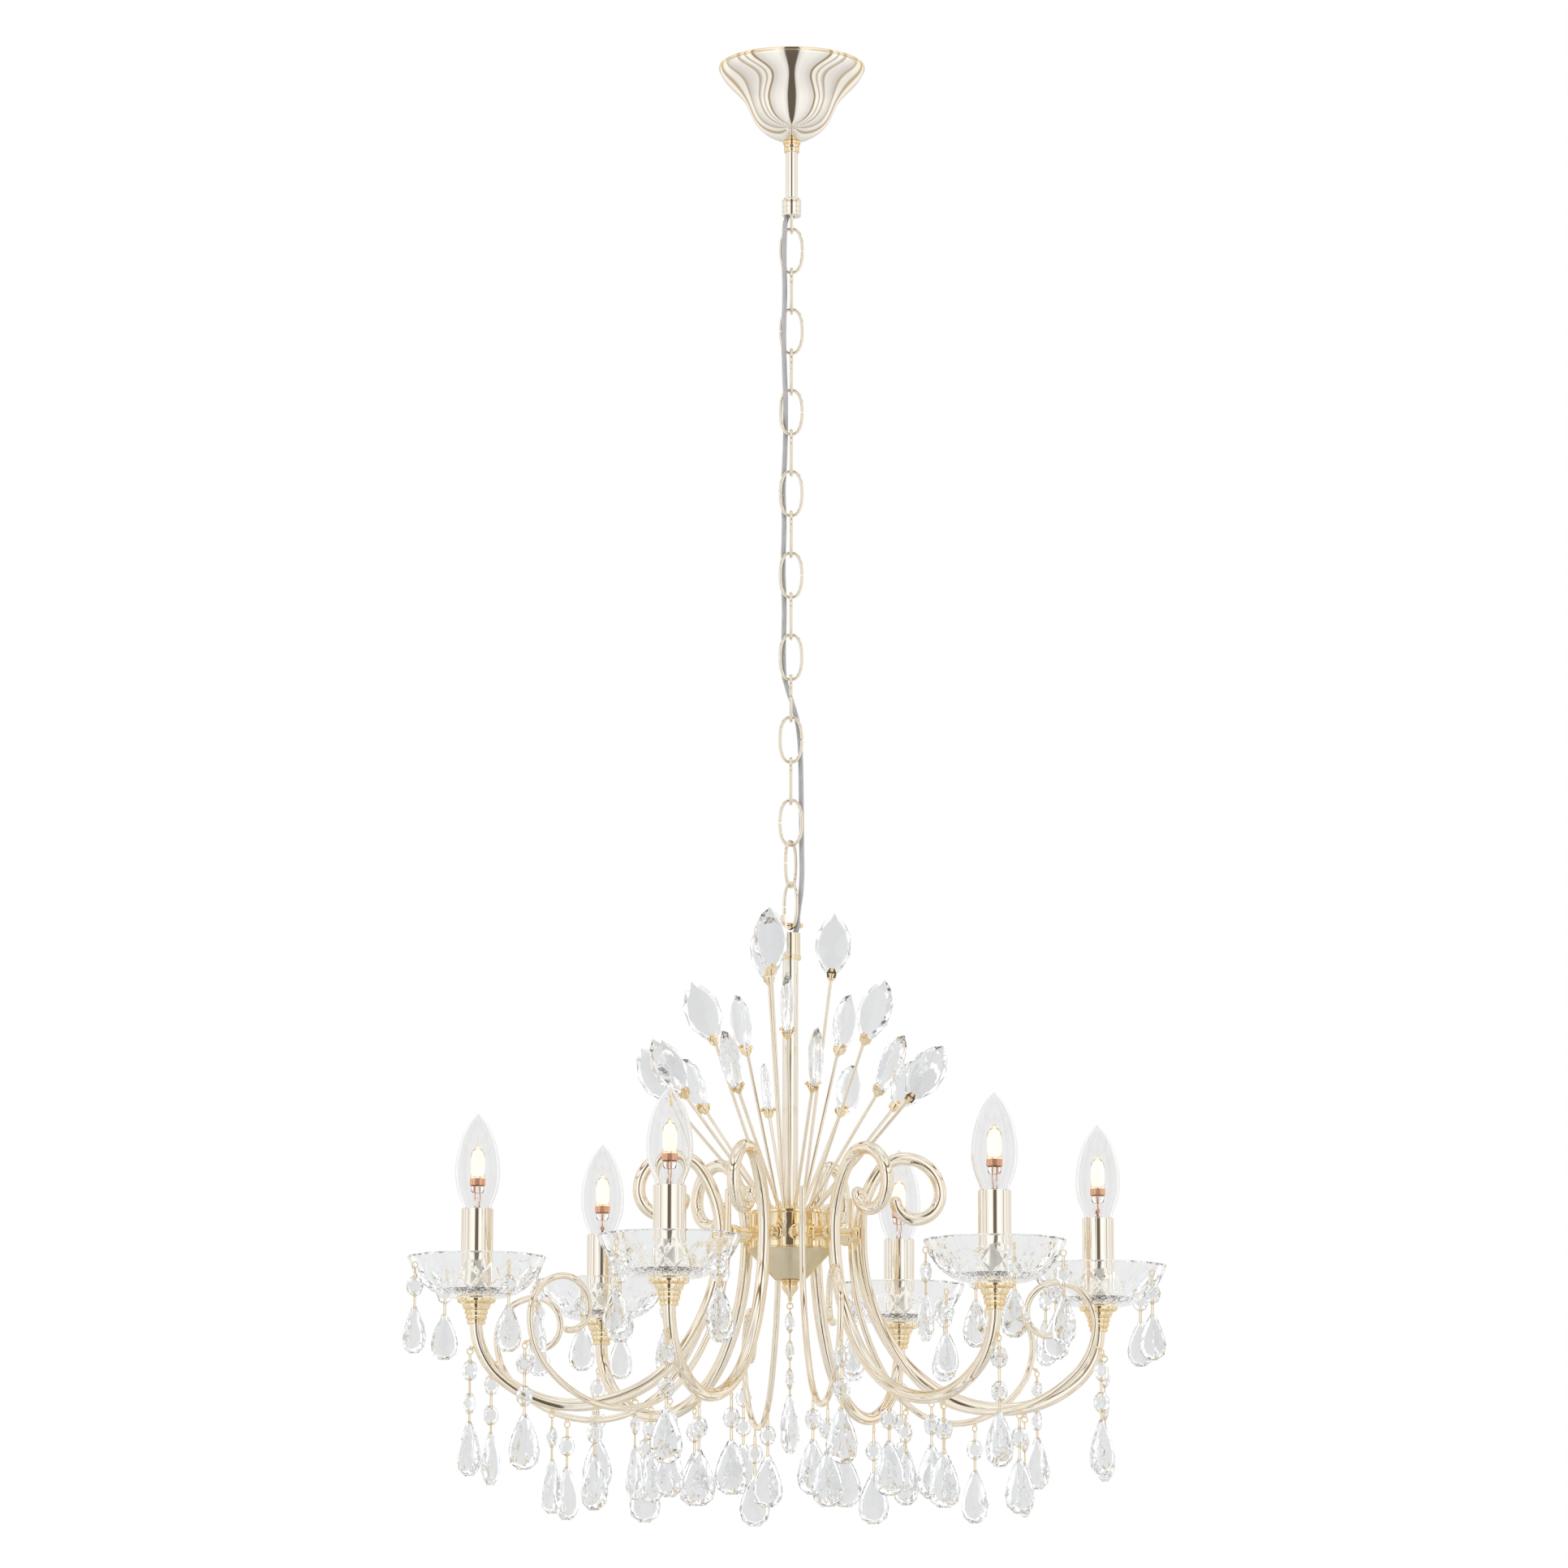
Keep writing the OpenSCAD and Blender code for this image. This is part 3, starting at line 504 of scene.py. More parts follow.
# ------------------------------------------------------------------ camera
cam = bpy.data.objects.new("camera", bpy.data.cameras.new("camera"))
bpy.context.scene.collection.objects.link(cam)
cam.data.sensor_width = 36
cam.data.lens = 131.44
cam.data.clip_end = 50
cam.matrix_world = (Matrix.Translation((0, -4.5, -1.3506)) @ Matrix.Rotation(0.0012, 4, "Z")
                    @ Matrix.Rotation(math.pi / 2 + 0.16702, 4, "X") @ Matrix.Rotation(0.0017, 4, "Z"))
bpy.context.scene.camera = cam

# ------------------------------------------------------------------ ceiling parts
def bell(inset):
    """The bell's profile from its rim down to the neck, moved inwards by inset."""
    r = 59 - inset
    upper = cubic((r, 0), (r - 0.5, -12), (r - 17, -20), (r - 23, -33), 26)
    lower = cubic((r - 23, -33), (r - 27.5, -43), (r - 30, 7 - 63 + inset), (5.3, inset - 63), 26)
    return upper + lower[1:]


outer = bell(0)
lip = [(58.2, 0), (59.0, -0.5), (59.0, -1.4), (58.4, -2.0)]
canopy = lathe(lip + [p for p in outer if p[1] < -2.4] + list(reversed(bell(1.3))), 160, closed=True)
piece("bell", canopy, PALE, "ceiling_bell", "canopy", 40)
rim = lathe([(58.9, -0.2), (59.3, -0.6), (59.4, -1.4), (59.2, -2.4), (58.3, -2.9), (57.6, -2.2),
             (57.8, -0.4)],
            160, closed=True)
piece("bell_rim_bead", rim, GOLD, "ceiling_bell")
collar = lathe([(5.08, -72), (5.6, -72.2), (6.1, -71.8), (6.2, -71.2), (6.2, -66), (6.0, -65.6), (6.0, -65.2),
                (7.0, -64.9), (7.2, -64.4), (7.2, -63.5), (6.9, -63.1), (5.08, -63.1)], 64, closed=True)
piece("bell_collar", collar, GOLD, "ceiling_bell", "canopy_collar")

coupler_profile = [(2.5, COUPLER_BOTTOM_Z + 0.5), (2.5, COUPLER_BOTTOM_Z), (7.2, COUPLER_BOTTOM_Z)]
z = COUPLER_BOTTOM_Z
coupler_profile += [(7.8, z + 0.6), (7.8, z + 2.4), (7.3, z + 2.8), (7.3, z + 3.2), (7.8, z + 3.6),
                    (7.8, z + 6.4),
                    (7.3, z + 6.8), (7.3, z + 7.2), (7.8, z + 7.6), (7.8, z + 12), (7.5, z + 13.6),
                    (6.6, z + 14.8),
                    (5.08, z + 15.4), (5.08, z + 8), (2.5, z + 7.5)]
piece("chain_coupler_visual", lathe(coupler_profile, 64, closed=True), PALE, "ceiling", "chain_coupler")
piece("down_tube_visual", lathe([(3.5, -114), (5, -114), (5, -5), (3.5, -5)], 64, closed=True), PALE,
      "ceiling", "down_tube")
loop = [(0, LOOP_BEND_R, COUPLER_BOTTOM_Z + 5), (0, LOOP_BEND_R, LOOP_Z + LOOP_BEND_R + 2)]
loop += [(0, LOOP_BEND_R * math.cos(a), LOOP_Z + LOOP_BEND_R - LOOP_BEND_R * math.sin(a))
         for a in [math.pi * k / 14 for k in range(15)]]
loop += [(0, -LOOP_BEND_R, LOOP_Z + LOOP_BEND_R + 2), (0, -LOOP_BEND_R, COUPLER_BOTTOM_Z + 5)]
piece("coupler_loop_visual", sweep(loop, WIRE_R, 16), CHAMPAGNE, "ceiling", "coupler_loop")

# ------------------------------------------------------------------ chain and flex
def link_z(i):
    return FIRST_LINK_Z - i * LINK_PITCH


def link_path(n=72):
    """A rounded oval of wire with its butt gap in the middle of one side."""
    out = []
    for k in range(n + 1):
        a = TAU * k / n
        a = min(max(a, 0.018), TAU - 0.018)
        c, s = math.cos(a), math.sin(a)
        power = 2 / 2.35
        out.append((LINK_BEND_R * 1.02 * math.copysign(abs(c)**power, c), 0,
                    LINK_REACH * math.copysign(abs(s)**power, s)))
    return out


for i in range(LINKS):
    name = f"chain_link_{i + 1:02d}"
    at = move(0, 0, link_z(i)) @ turn(LINK_TURNS[i] + (180 if i % 4 > 1 else 0))
    piece(name + "_wire", Shape().add(sweep(link_path(), WIRE_R, 16, "flat"), at), CHAMPAGNE, name, name, 50)


def flex():
    """The flex in lengths, each from one link to the next: a clear jacket over twisted strands."""
    path = smooth_path(CORD_ROUTE, 3.0)
    length, along = 0.0, [0.0]
    for a, b in zip(path, path[1:]):
        length += (b - a).length
        along.append(length)
    bodies = ["ceiling"] + [f"chain_link_{i + 1:02d}" for i in range(LINKS)] + ["fixture"]
    cuts = [0.0] + [link_z(i) for i in range(LINKS)]
    for j in range(len(bodies) - 1):
        top = 10.0 if j == 0 else cuts[j]
        low = -2000.0 if j == len(bodies) - 2 else cuts[j + 1]
        picked = [k for k, p in enumerate(path) if low <= p.z <= top]
        first, last = picked[0], picked[-1]
        first = max(first - 1, 0) if j else 0
        part = path[first:last + 1]
        shape = sweep(part, 2.0, 20, "open" if 0 < j < len(bodies) - 2 else "flat")
        for phase in (0.0, math.pi):
            strand = []
            for k in range(first, last + 1):
                w = (path[min(k + 1, len(path) - 1)] - path[max(k - 1, 0)]).normalized()
                s = w.cross(Vector((0, 1, 0)) if abs(w.y) < 0.9 else Vector((1, 0, 0))).normalized()
                u = w.cross(s)
                a = phase + along[k] * TAU / 30
                strand.append(path[k] + s * (0.8 * math.cos(a)) + u * (0.8 * math.sin(a)))
            shape.add(sweep(strand, 0.72, 10, "flat"), m=1)
        ob = mesh_object(f"flex_{j + 1:02d}", shape, [JACKET, STRANDS], 60)
        a, b = bodies[j], bodies[j + 1]
        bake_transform(ob)
        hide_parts("power_cord")


flex()

# ------------------------------------------------------------------ stem and hub
stem = lathe([(0, -716 - 258), (6.25, -716 - 258), (6.25, -716), (5.25, -716), (5.25, -960), (0, -960)], 72)
piece("stem", stem, PALE, "fixture", "stem_tube")
band = lathe([(8.05, -733.4), (8.3, -733.0), (8.3, -730.4), (8.05, -730.0), (7.9, -731.5)], 72, closed=True)
piece("stem_head_band", band, GOLD, "fixture")

top_plate = lathe([(6.4, HUB_TOP_Z), (32.4, HUB_TOP_Z), (33.2, HUB_TOP_Z - 0.5), (33.4, HUB_TOP_Z - 1.4),
                   (33.2, HUB_TOP_Z - 2.3), (32.3, HUB_TOP_Z - 2.8), (31.9, HUB_TOP_Z - 3.4),
                   (31.9, HUB_BOTTOM_Z + 1.2), (32.5, HUB_BOTTOM_Z + 0.6), (32.5, HUB_BOTTOM_Z),
                   (30, HUB_BOTTOM_Z), (30, HUB_TOP_Z - 3), (6.4, HUB_TOP_Z - 3)], 144, closed=True)
piece("hub_drum_visual", top_plate, GOLD, "fixture", "hub_drum")
cone = lathe([(3.1, FINIAL_TOP_Z), (12.2, FINIAL_TOP_Z), (12.8, FINIAL_TOP_Z + 0.6),
              (32.6, HUB_BOTTOM_Z - 1.6),
              (33.0, HUB_BOTTOM_Z - 0.9), (32.6, HUB_BOTTOM_Z - 0.1), (30.5, HUB_BOTTOM_Z - 0.1),
              (11.5, FINIAL_TOP_Z + 2.6), (3.1, FINIAL_TOP_Z + 2.6)], 144, closed=True)
piece("hub_cone_visual", cone, SATIN, "fixture", "hub_cone")
z = FINIAL_TOP_Z
finial = [(0, z - 17), (1.2, z - 16.9), (1.6, z - 16.4), (1.6, z - 15.4), (1.9, z - 15.0), (1.9, z - 14.6),
          (1.5, z - 14.0), (2.4, z - 12.2), (3.9, z - 10.3), (5.6, z - 8.4), (6.5, z - 6.4), (6.3, z - 4.6),
          (5.4, z - 3.4), (6.4, z - 3.1), (6.6, z - 2.7), (6.4, z - 2.3), (5.6, z - 2.0), (6.9, z - 1.7),
          (7.2, z - 1.1), (7.0, z - 0.3), (6.6, z - 0.02), (0, z - 0.02)]
finial = lathe(finial, 72).add(ring(1.6, 0.55, 32, 12), move(0, 0, z - 18.1) @ turn(90))
piece("hub_finial_visual", finial, GOLD, "fixture", "hub_finial", 30)

studs = Shape()
for k in range(ARMS):
    for first, reach in ((FIRST_ARM, 50.6), (FIRST_SCROLL, 59.8)):
        stud = lathe([(0, 31), (5.6, 31), (6.2, 31.6), (6.2, 34.2), (5.6, 34.8), (4.2, 35.2),
                      (4.0, reach - 7),
                      (4.8, reach - 6.2), (5.2, reach - 5), (5.2, reach - 2), (4.6, reach - 0.6),
                      (4.2, reach),
                      (0, reach)], 40)
        studs.add(stud, turn(first + k * STEP) @ move(0, 0, STUD_Z) @ turn(90, "Y"))
piece("hub_studs", studs, GOLD, "fixture", "hub_fasteners", 35)

# ------------------------------------------------------------------ leaf spray
wires, claws, leaves = Shape(), Shape(), Shape()
for count, root, out_r, claw_z, lean, first in LEAF_TIERS:
    for k in range(count):
        around = turn(first + k * 360 / count)
        foot = move(root, 0, HUB_TOP_Z)
        nut = lathe([(0, 0), (2.6, 0), (2.9, 0.4), (2.9, 2.4), (2.4, 3.0), (1.7, 3.2), (1.7, 4.4),
                     (1.3, 4.8)], 24)
        wires.add(nut, around @ foot, 1)
        path = [around @ Vector((root + (out_r - root) * t, 0,
                                 HUB_TOP_Z + 2 + (claw_z + 0.6 - HUB_TOP_Z - 2) * t))
                for t in (0, 0.25, 0.5, 0.75, 1)]
        wires.add(sweep(path, 1.3, 14))
        # the three highest leaves turn their faces partly to the front, the others stand a little unevenly
        facing = (first + k * 360 / count + 90) % 180
        twist = 0.62 * (90 - facing) if count == 3 else draw.uniform(-16, 16)
        here = around @ move(out_r, 0, claw_z) @ turn(lean, "Y") @ turn(twist)
        claws.add(lathe([(0, 0.2), (1.9, 0.2), (2.4, 1.0), (3.4, 3.0), (4.4, 5.4), (4.0, 5.4), (2.6, 2.6),
                         (0, 2.2)], 24),
                  here)
        for side in (-1, 1):
            prong = [(-3.3, 2.2), (3.3, 2.2), (3.8, 6.2), (2.0, 9.4), (-2.0, 9.4), (-3.8, 6.2)]
            v = [(x, side * (2.0 + (z - 2.2) * 0.30 + d), z) for d in (0, 0.7) for x, z in prong]
            n = len(prong)
            f = [tuple(range(n)), tuple(range(2 * n - 1, n - 1, -1))]
            f += [(q, (q + 1) % n, n + (q + 1) % n, n + q) for q in range(n)]
            claws.add(Shape(v, f), here)
            claws.add(ball(1.35, 0, 16), here @ move(0, side * 5.6, CLAW_H + 0.8))
        claws.add(sweep([(0, -5.2, 0), (0, 0, 0), (0, 5.2, 0)], 0.5, 10), here @ move(0, 0, CLAW_H + 0.8))
        stone = gem(marquise(51, 25), 7.6, (0, 22), (0.80, 0.34, 0.12, 0.48), (0.86, 0.34, 0.4, 0.44), 0.3)
        leaves.add(stone, here @ move(0, 0, 3.2) @ turn(draw.uniform(-4, 4), "Y"))
piece("leaf_wires", wires, [CHAMPAGNE, GOLD], "fixture", "leaf_stems", 40)
piece("leaf_claw_cups", claws, GOLD, "fixture", "leaf_claws", 35)
piece("leaf_stones", leaves, CRYSTAL, "fixture", "leaf_crystals", 0)

# ------------------------------------------------------------------ arms and scrolls
arm = sweep([(x, 0, z) for x, z in bend_path(MAIN_BENDS)], 5.0, 28)
scroll = sweep([(x, 0, z) for x, z in bend_path(SCROLL_BENDS)], 2.5, 20)
arms, scrolls = Shape(), Shape()
for k in range(ARMS):
    arms.add(arm, at_candle(k, SOCKET_Z) @ turn(180, "X"))
    scrolls.add(scroll, turn(FIRST_SCROLL + k * STEP) @ move(SCROLL_IN[0], 0, SCROLL_IN[1])
                @ turn(180) @ turn(180, "X"))
piece("candle_arms", arms, CHAMPAGNE, "fixture", "main_arms", 60)
piece("scrolls", scrolls, CHAMPAGNE, "fixture", "scroll_arms", 60)

s = DISH_SEAT_Z
cup = lathe([(5.1, CUP_BOTTOM_Z), (6.6, CUP_BOTTOM_Z), (7.2, CUP_BOTTOM_Z + 0.8), (7.2, CUP_BOTTOM_Z + 2.4),
             (6.6, CUP_BOTTOM_Z + 3.2), (7.0, CUP_BOTTOM_Z + 3.6), (8.0, CUP_BOTTOM_Z + 4.4),
             (8.4, CUP_BOTTOM_Z + 5.6),
             (8.0, CUP_BOTTOM_Z + 6.8), (7.6, CUP_BOTTOM_Z + 7.4), (8.6, CUP_BOTTOM_Z + 8.0),
             (9.2, CUP_BOTTOM_Z + 9.2),
             (8.8, CUP_BOTTOM_Z + 10.4), (8.5, CUP_BOTTOM_Z + 11), (9.6, CUP_BOTTOM_Z + 11.6),
             (10.6, CUP_BOTTOM_Z + 13.2), (11.0, CUP_BOTTOM_Z + 15.0), (11.0, s - 4.9), (11.6, s - 4.4),
             (14.2, s - 3.7), (15.0, s - 2.8), (15.0, s - 0.9), (14.4, s - 0.1), (5.1, s - 0.1)], 72,
             closed=True)
cups = Shape()
for k in range(ARMS):
    cups.add(cup, at_candle(k, 0))
piece("arm_cups_visual", cups, GOLD, "fixture", "arm_cups", 30)

# ------------------------------------------------------------------ cut glass dishes
def groove(t, width):
    """1 in the middle of a cut and 0 beside it, once for each unit of t."""
    return max(0.0, 1 - abs((t % 1.0) - 0.5) / width)


def dish():
    """A drip dish: a scalloped foot, crossed cuts with a lens between them, and a plain polished rim."""
    rows = 40
    profile = cubic((17, 0), (34, 0), (48, 12.8), (54, 32), rows)
    inner = [(53.2, 32.4), (50.6, 32.4), (49.8, 31.6), (46.5, 22), (41, 14), (33, 7), (24, 4.2), (17, 3.5),
             (13.4, 3.5)]
    foot = [(13.4, 0.2), (14.6, 0.2)]

    def cut(r, z, a, j):
        k = j - len(foot)
        if k < 0 or k > rows:
            return r, z
        t = k / rows
        u = a / TAU
        window = min(1, max(0, (t - 0.14) / 0.08)) * min(1, max(0, (0.84 - t) / 0.08))
        crossed = max(groove(16 * u + 1.6 * t, 0.11), groove(16 * u - 1.6 * t, 0.11))
        fine = max(groove(48 * u + 4.8 * t, 0.25), groove(48 * u - 4.8 * t, 0.25)) * (1 if t < 0.42 else 0)
        depth = window * max(1.0 * crossed, 0.45 * fine)
        scallop = max(0, (0.16 - t) / 0.16) * 0.9 * (1 - abs(math.sin(12 * a)))
        thumb = max(0, (t - 0.84) / 0.16) * 0.25 * (1 - math.cos(24 * a)) / 2
        depth += scallop + thumb
        return r - depth * 0.9, z + depth * 0.5 * (1 - t)
    return lathe(foot + profile + inner, 288, closed=True, bend=cut)


one_dish = dish()
dishes = Shape()
for k in range(ARMS):
    dishes.add(one_dish, at_candle(k, DISH_SEAT_Z) @ turn(draw.uniform(0, 20)))
piece("drip_dishes", dishes, CUT_GLASS, "fixture", "glass_dishes", 18)

# ------------------------------------------------------------------ candles
sleeve = lathe([(11.7, 0), (12.3, 0), (12.5, 0.3), (12.5, 65.6), (12.3, 66), (11.9, 66), (11.7, 65.7)], 96,
               closed=True)
holder = lathe([(2.2, -4.8), (4.9, -4.8), (4.9, 0), (11.2, 0), (11.2, 2), (6, 2), (6, 22), (10, 22), (10, 60),
                (9.4, 61), (7.4, 61), (7.1, 36), (2.2, 36)], 48, closed=True)
sleeves, holders = Shape(), Shape()
for k in range(ARMS):
    sleeves.add(sleeve, at_candle(k, SLEEVE_Z))
    holders.add(holder, at_candle(k, SLEEVE_Z))
piece("candle_tubes", sleeves, PALE, "fixture", "candle_sleeves", 25)
piece("candle_holders", holders, WHITE_PLASTIC, "fixture", "lampholders", 40)


def bulb_envelope():
    outside = [(7, -3.4)] + cubic((9.6, -3.4), (10.6, -1), (11.0, 1.5), (11.6, 4), 6)
    outside += cubic((11.6, 4), (15, 12), (17.5, 18), (17.5, 29), 18)[1:]
    outside += cubic((17.5, 29), (17.5, 47), (9.5, 68.5), (0.0, 74), 30)[1:]
    inside = [(max(r - 0.9, 0.2), z + (0.5 if z < 0 else 0.0)) for r, z in outside[:-1]] + [(0, 72.8)]
    return lathe(outside + inside[::-1], 72, closed=True)


def bulb_inside():
    """Capsule, copper strap, pinch, supports and the screw cap, with one material number each."""
    out = Shape()
    out.add(lathe([(0, 25.5), (2.4, 26), (3.6, 28), (3.8, 33), (3.7, 39), (2.8, 43), (1.4, 45.2), (0, 46)],
                  32), m=0)
    out.add(lathe([(0, 23), (4.6, 23), (5.4, 24), (5.6, 27), (5.6, 40), (5.0, 43.6), (3.4, 46.4), (1.8, 47.6),
                   (1.2, 49.4), (0.5, 50.4), (0, 50.5), (0, 49.2), (0.9, 47), (2.8, 45.6), (4.3, 43.2),
                   (4.9, 40), (4.9, 24.6), (0, 24.2)], 32), m=4)
    out.add(lathe([(5.7, 18.6), (6.1, 18.4), (6.1, 23.4), (5.7, 23.2)], 32, closed=True), m=1)
    out.add(lathe([(0, 12.5), (4.0, 12.5), (5.0, 14), (5.2, 18.4), (5.2, 23), (0, 23)], 24), m=2)
    out.add(sweep([(2.2, 0, 14), (2.2, 0, 25)], 0.5, 8), m=1)
    out.add(sweep([(-2.2, 0, 14), (-2.2, 0, 25)], 0.5, 8), m=1)
    for side in (-1, 1):
        out.add(sweep([(side * 1.8, 0, -3), (side * 2.0, 0, 4), (side * 3.2, 0, 9), (side * 2.4, 0, 16)],
                      0.42, 10), m=1)
    out.add(lathe([(0, -3), (3.4, -3), (2.6, 1), (2.0, 5), (1.3, 8), (0, 8.6)], 24), m=2)
    thread = [(0, -28), (3.6, -28), (4.2, -27)]
    for k in range(7):
        thread += [(6.3, -25.6 + k * 3), (6.85, -24.1 + k * 3)]
    thread += [(6.9, -4.2), (6.9, -3.4), (0, -3.4)]
    out.add(lathe(thread, 48), m=3)
    return out


envelope, inside = bulb_envelope(), bulb_inside()
for k in range(ARMS):
    name = f"bulb_{k + 1}"
    here = at_candle(k, SLEEVE_TOP_Z) @ turn(draw.uniform(0, 180))
    piece(name + "_envelope", Shape().add(envelope, here), THIN_GLASS, name, name, 60)
    piece(name + "_inside", Shape().add(inside, here), [LIT, COPPER, THIN_GLASS, GOLD, WARM_GLASS], name,
          name, 40)

# ------------------------------------------------------------------ hanging crystals
def link_pin(top, foot):
    """A narrow loop of wire that joins two stones."""
    w = 0.75
    path = [(w, 0, top - 1), (w * 0.6, 0, top - 0.3), (0, 0, top), (-w * 0.6, 0, top - 0.3), (-w, 0, top - 1)]
    path += [(-w, 0, foot + 1), (-w * 0.6, 0, foot + 0.3), (0, 0, foot), (w * 0.6, 0, foot + 0.3),
             (w, 0, foot + 1)]
    return sweep(path, 0.42, 8, closed=True)


def strand(hook, length=44, width=25, thick=10, yaw=0.0):
    """Returns the stones and the wire of a strand that hangs from a ring at the origin."""
    beads, pitch = hook[2], hook[3]
    bead_r = 7.6
    stones, wire = Shape(), Shape()
    wire.add(ring(2.3, 0.5, 28, 10))
    hang = turn(yaw)
    top = -2.0
    for k in range(beads):
        mid = -2 - (k + 0.5) * pitch
        own = hang @ turn(draw.uniform(-20, 20)) @ move(0, 0, mid)
        oval = [(x * 0.92, z * 1.12) for x, z in disc(bead_r, 8, 0.5 if k % 2 else 0.0)]
        stones.add(gem(oval, 6.4, (0, 0), (0.74, 0.36, 0.40, 0.5), (0.8, 0.34, 0.5, 0.5), 0.5), own)
        wire.add(link_pin(top, mid + bead_r - 3.4), own @ move(0, 0, -mid))
        top = mid - bead_r + 3.4
    foot = -2 - beads * pitch
    own = hang @ turn(draw.uniform(-12, 12))
    wire.add(link_pin(top, foot - 3.2), own)
    stones.add(gem(pear(length, width), thick, (0, -length * 0.62)), own @ move(0, 0, foot))
    return stones, wire


def hang_all(name, cad, body, places):
    """places: (matrix to the ring, hook, direction of its outer side, length, width, thickness)"""
    stones, wire = Shape(), Shape()
    for at, hook, direction, length, width, thick in places:
        to_front = (-direction) % 180 - 90 if direction % 180 else -90
        swing = max(-26, min(26, 0.7 * to_front)) + draw.uniform(-14, 14)
        a, b = strand(hook, length, width, thick, 90 + swing)
        stones.add(a, at)
        wire.add(b, at)
    piece(name + "_stones", stones, CRYSTAL, body, cad, 0)
    piece(name + "_wire", wire, GOLD, body, cad, 60)


def from_axis(direction, hook):
    return turn(direction) @ move(hook[0], 0, hook[1])


def eyelets(first, hooks, path, tube_r):
    """Small eyes under a tube, each reaching from the tube to the ring that hangs in it."""
    out = Shape()
    for hook in hooks:
        at = Vector((hook[0], 0, hook[1] + 2.3))
        near = min(path, key=lambda p: (p - at).length)
        way = (near - at).normalized()
        eye = at + way * 0.7
        out.add(ring(1.3, 0.42, 20, 8), Matrix.Translation(eye))
        out.add(sweep([eye + way * 1.2, near - way * (tube_r - 1)], 0.9, 12))
    return [(out, turn(first + k * STEP)) for k in range(ARMS)]


arm_line = [Vector((CANDLE_R + x, 0, SOCKET_Z - z)) for x, z in bend_path(MAIN_BENDS)]
scroll_line = [Vector((SCROLL_IN[0] - x, 0, SCROLL_IN[1] - z)) for x, z in bend_path(SCROLL_BENDS)]
eyes = Shape()
for shape, at in (eyelets(FIRST_ARM, [OUTER_HOOK] + ARM_HOOKS, arm_line, 5.0)
                  + eyelets(FIRST_SCROLL, SCROLL_HOOKS, scroll_line, 2.5)):
    eyes.add(shape, at)
piece("strand_eyelets", eyes, GOLD, "fixture", (), 50)

hang_all("centre_strand", "centre_strand", "centre_strand",
         [(from_axis(0, CENTRE_HOOK), CENTRE_HOOK, 0, 48, 27, 11)])
for k in range(ARMS):
    way = FIRST_ARM + k * STEP
    name = f"arm_strand_{k + 1}"
    hang_all(name, name, name, [(from_axis(way, OUTER_HOOK), OUTER_HOOK, way, 44, 27, 11)])
hang_all("lower_drops", "lower_drops", "fixture",
         [(from_axis(FIRST_ARM + k * STEP, h), h, FIRST_ARM + k * STEP, 44, 28, 11)
          for k in range(ARMS) for h in ARM_HOOKS])
hang_all("scroll_drops", "scroll_drops", "fixture",
         [(from_axis(FIRST_SCROLL + k * STEP, h), h, FIRST_SCROLL + k * STEP, 44, 27, 11)
          for k in range(ARMS) for h in SCROLL_HOOKS])
hang_all("dish_drops", "dish_drops", "fixture",
         [(at_candle(k, 0) @ turn(DISH_TURNS[k] + 90 * q) @ move(DISH_HOOK[0], 0, DISH_HOOK[1]),
           DISH_HOOK, FIRST_ARM + k * STEP + DISH_TURNS[k] + 90 * q, 38, 23, 9)
          for k in range(ARMS) for q in range(4)])

# ------------------------------------------------------------------ CAD nodes that stay
for node, mat in (("ceiling_bracket", ZINC), ("tube_nuts", GOLD), ("terminal_block", WHITE_PLASTIC),
                  ("collar_screw", ZINC), ("stem_head", CHAMPAGNE), ("fork_pin", GOLD), ("arm_wiring", LEAD)):
    finish_node(node, mat)

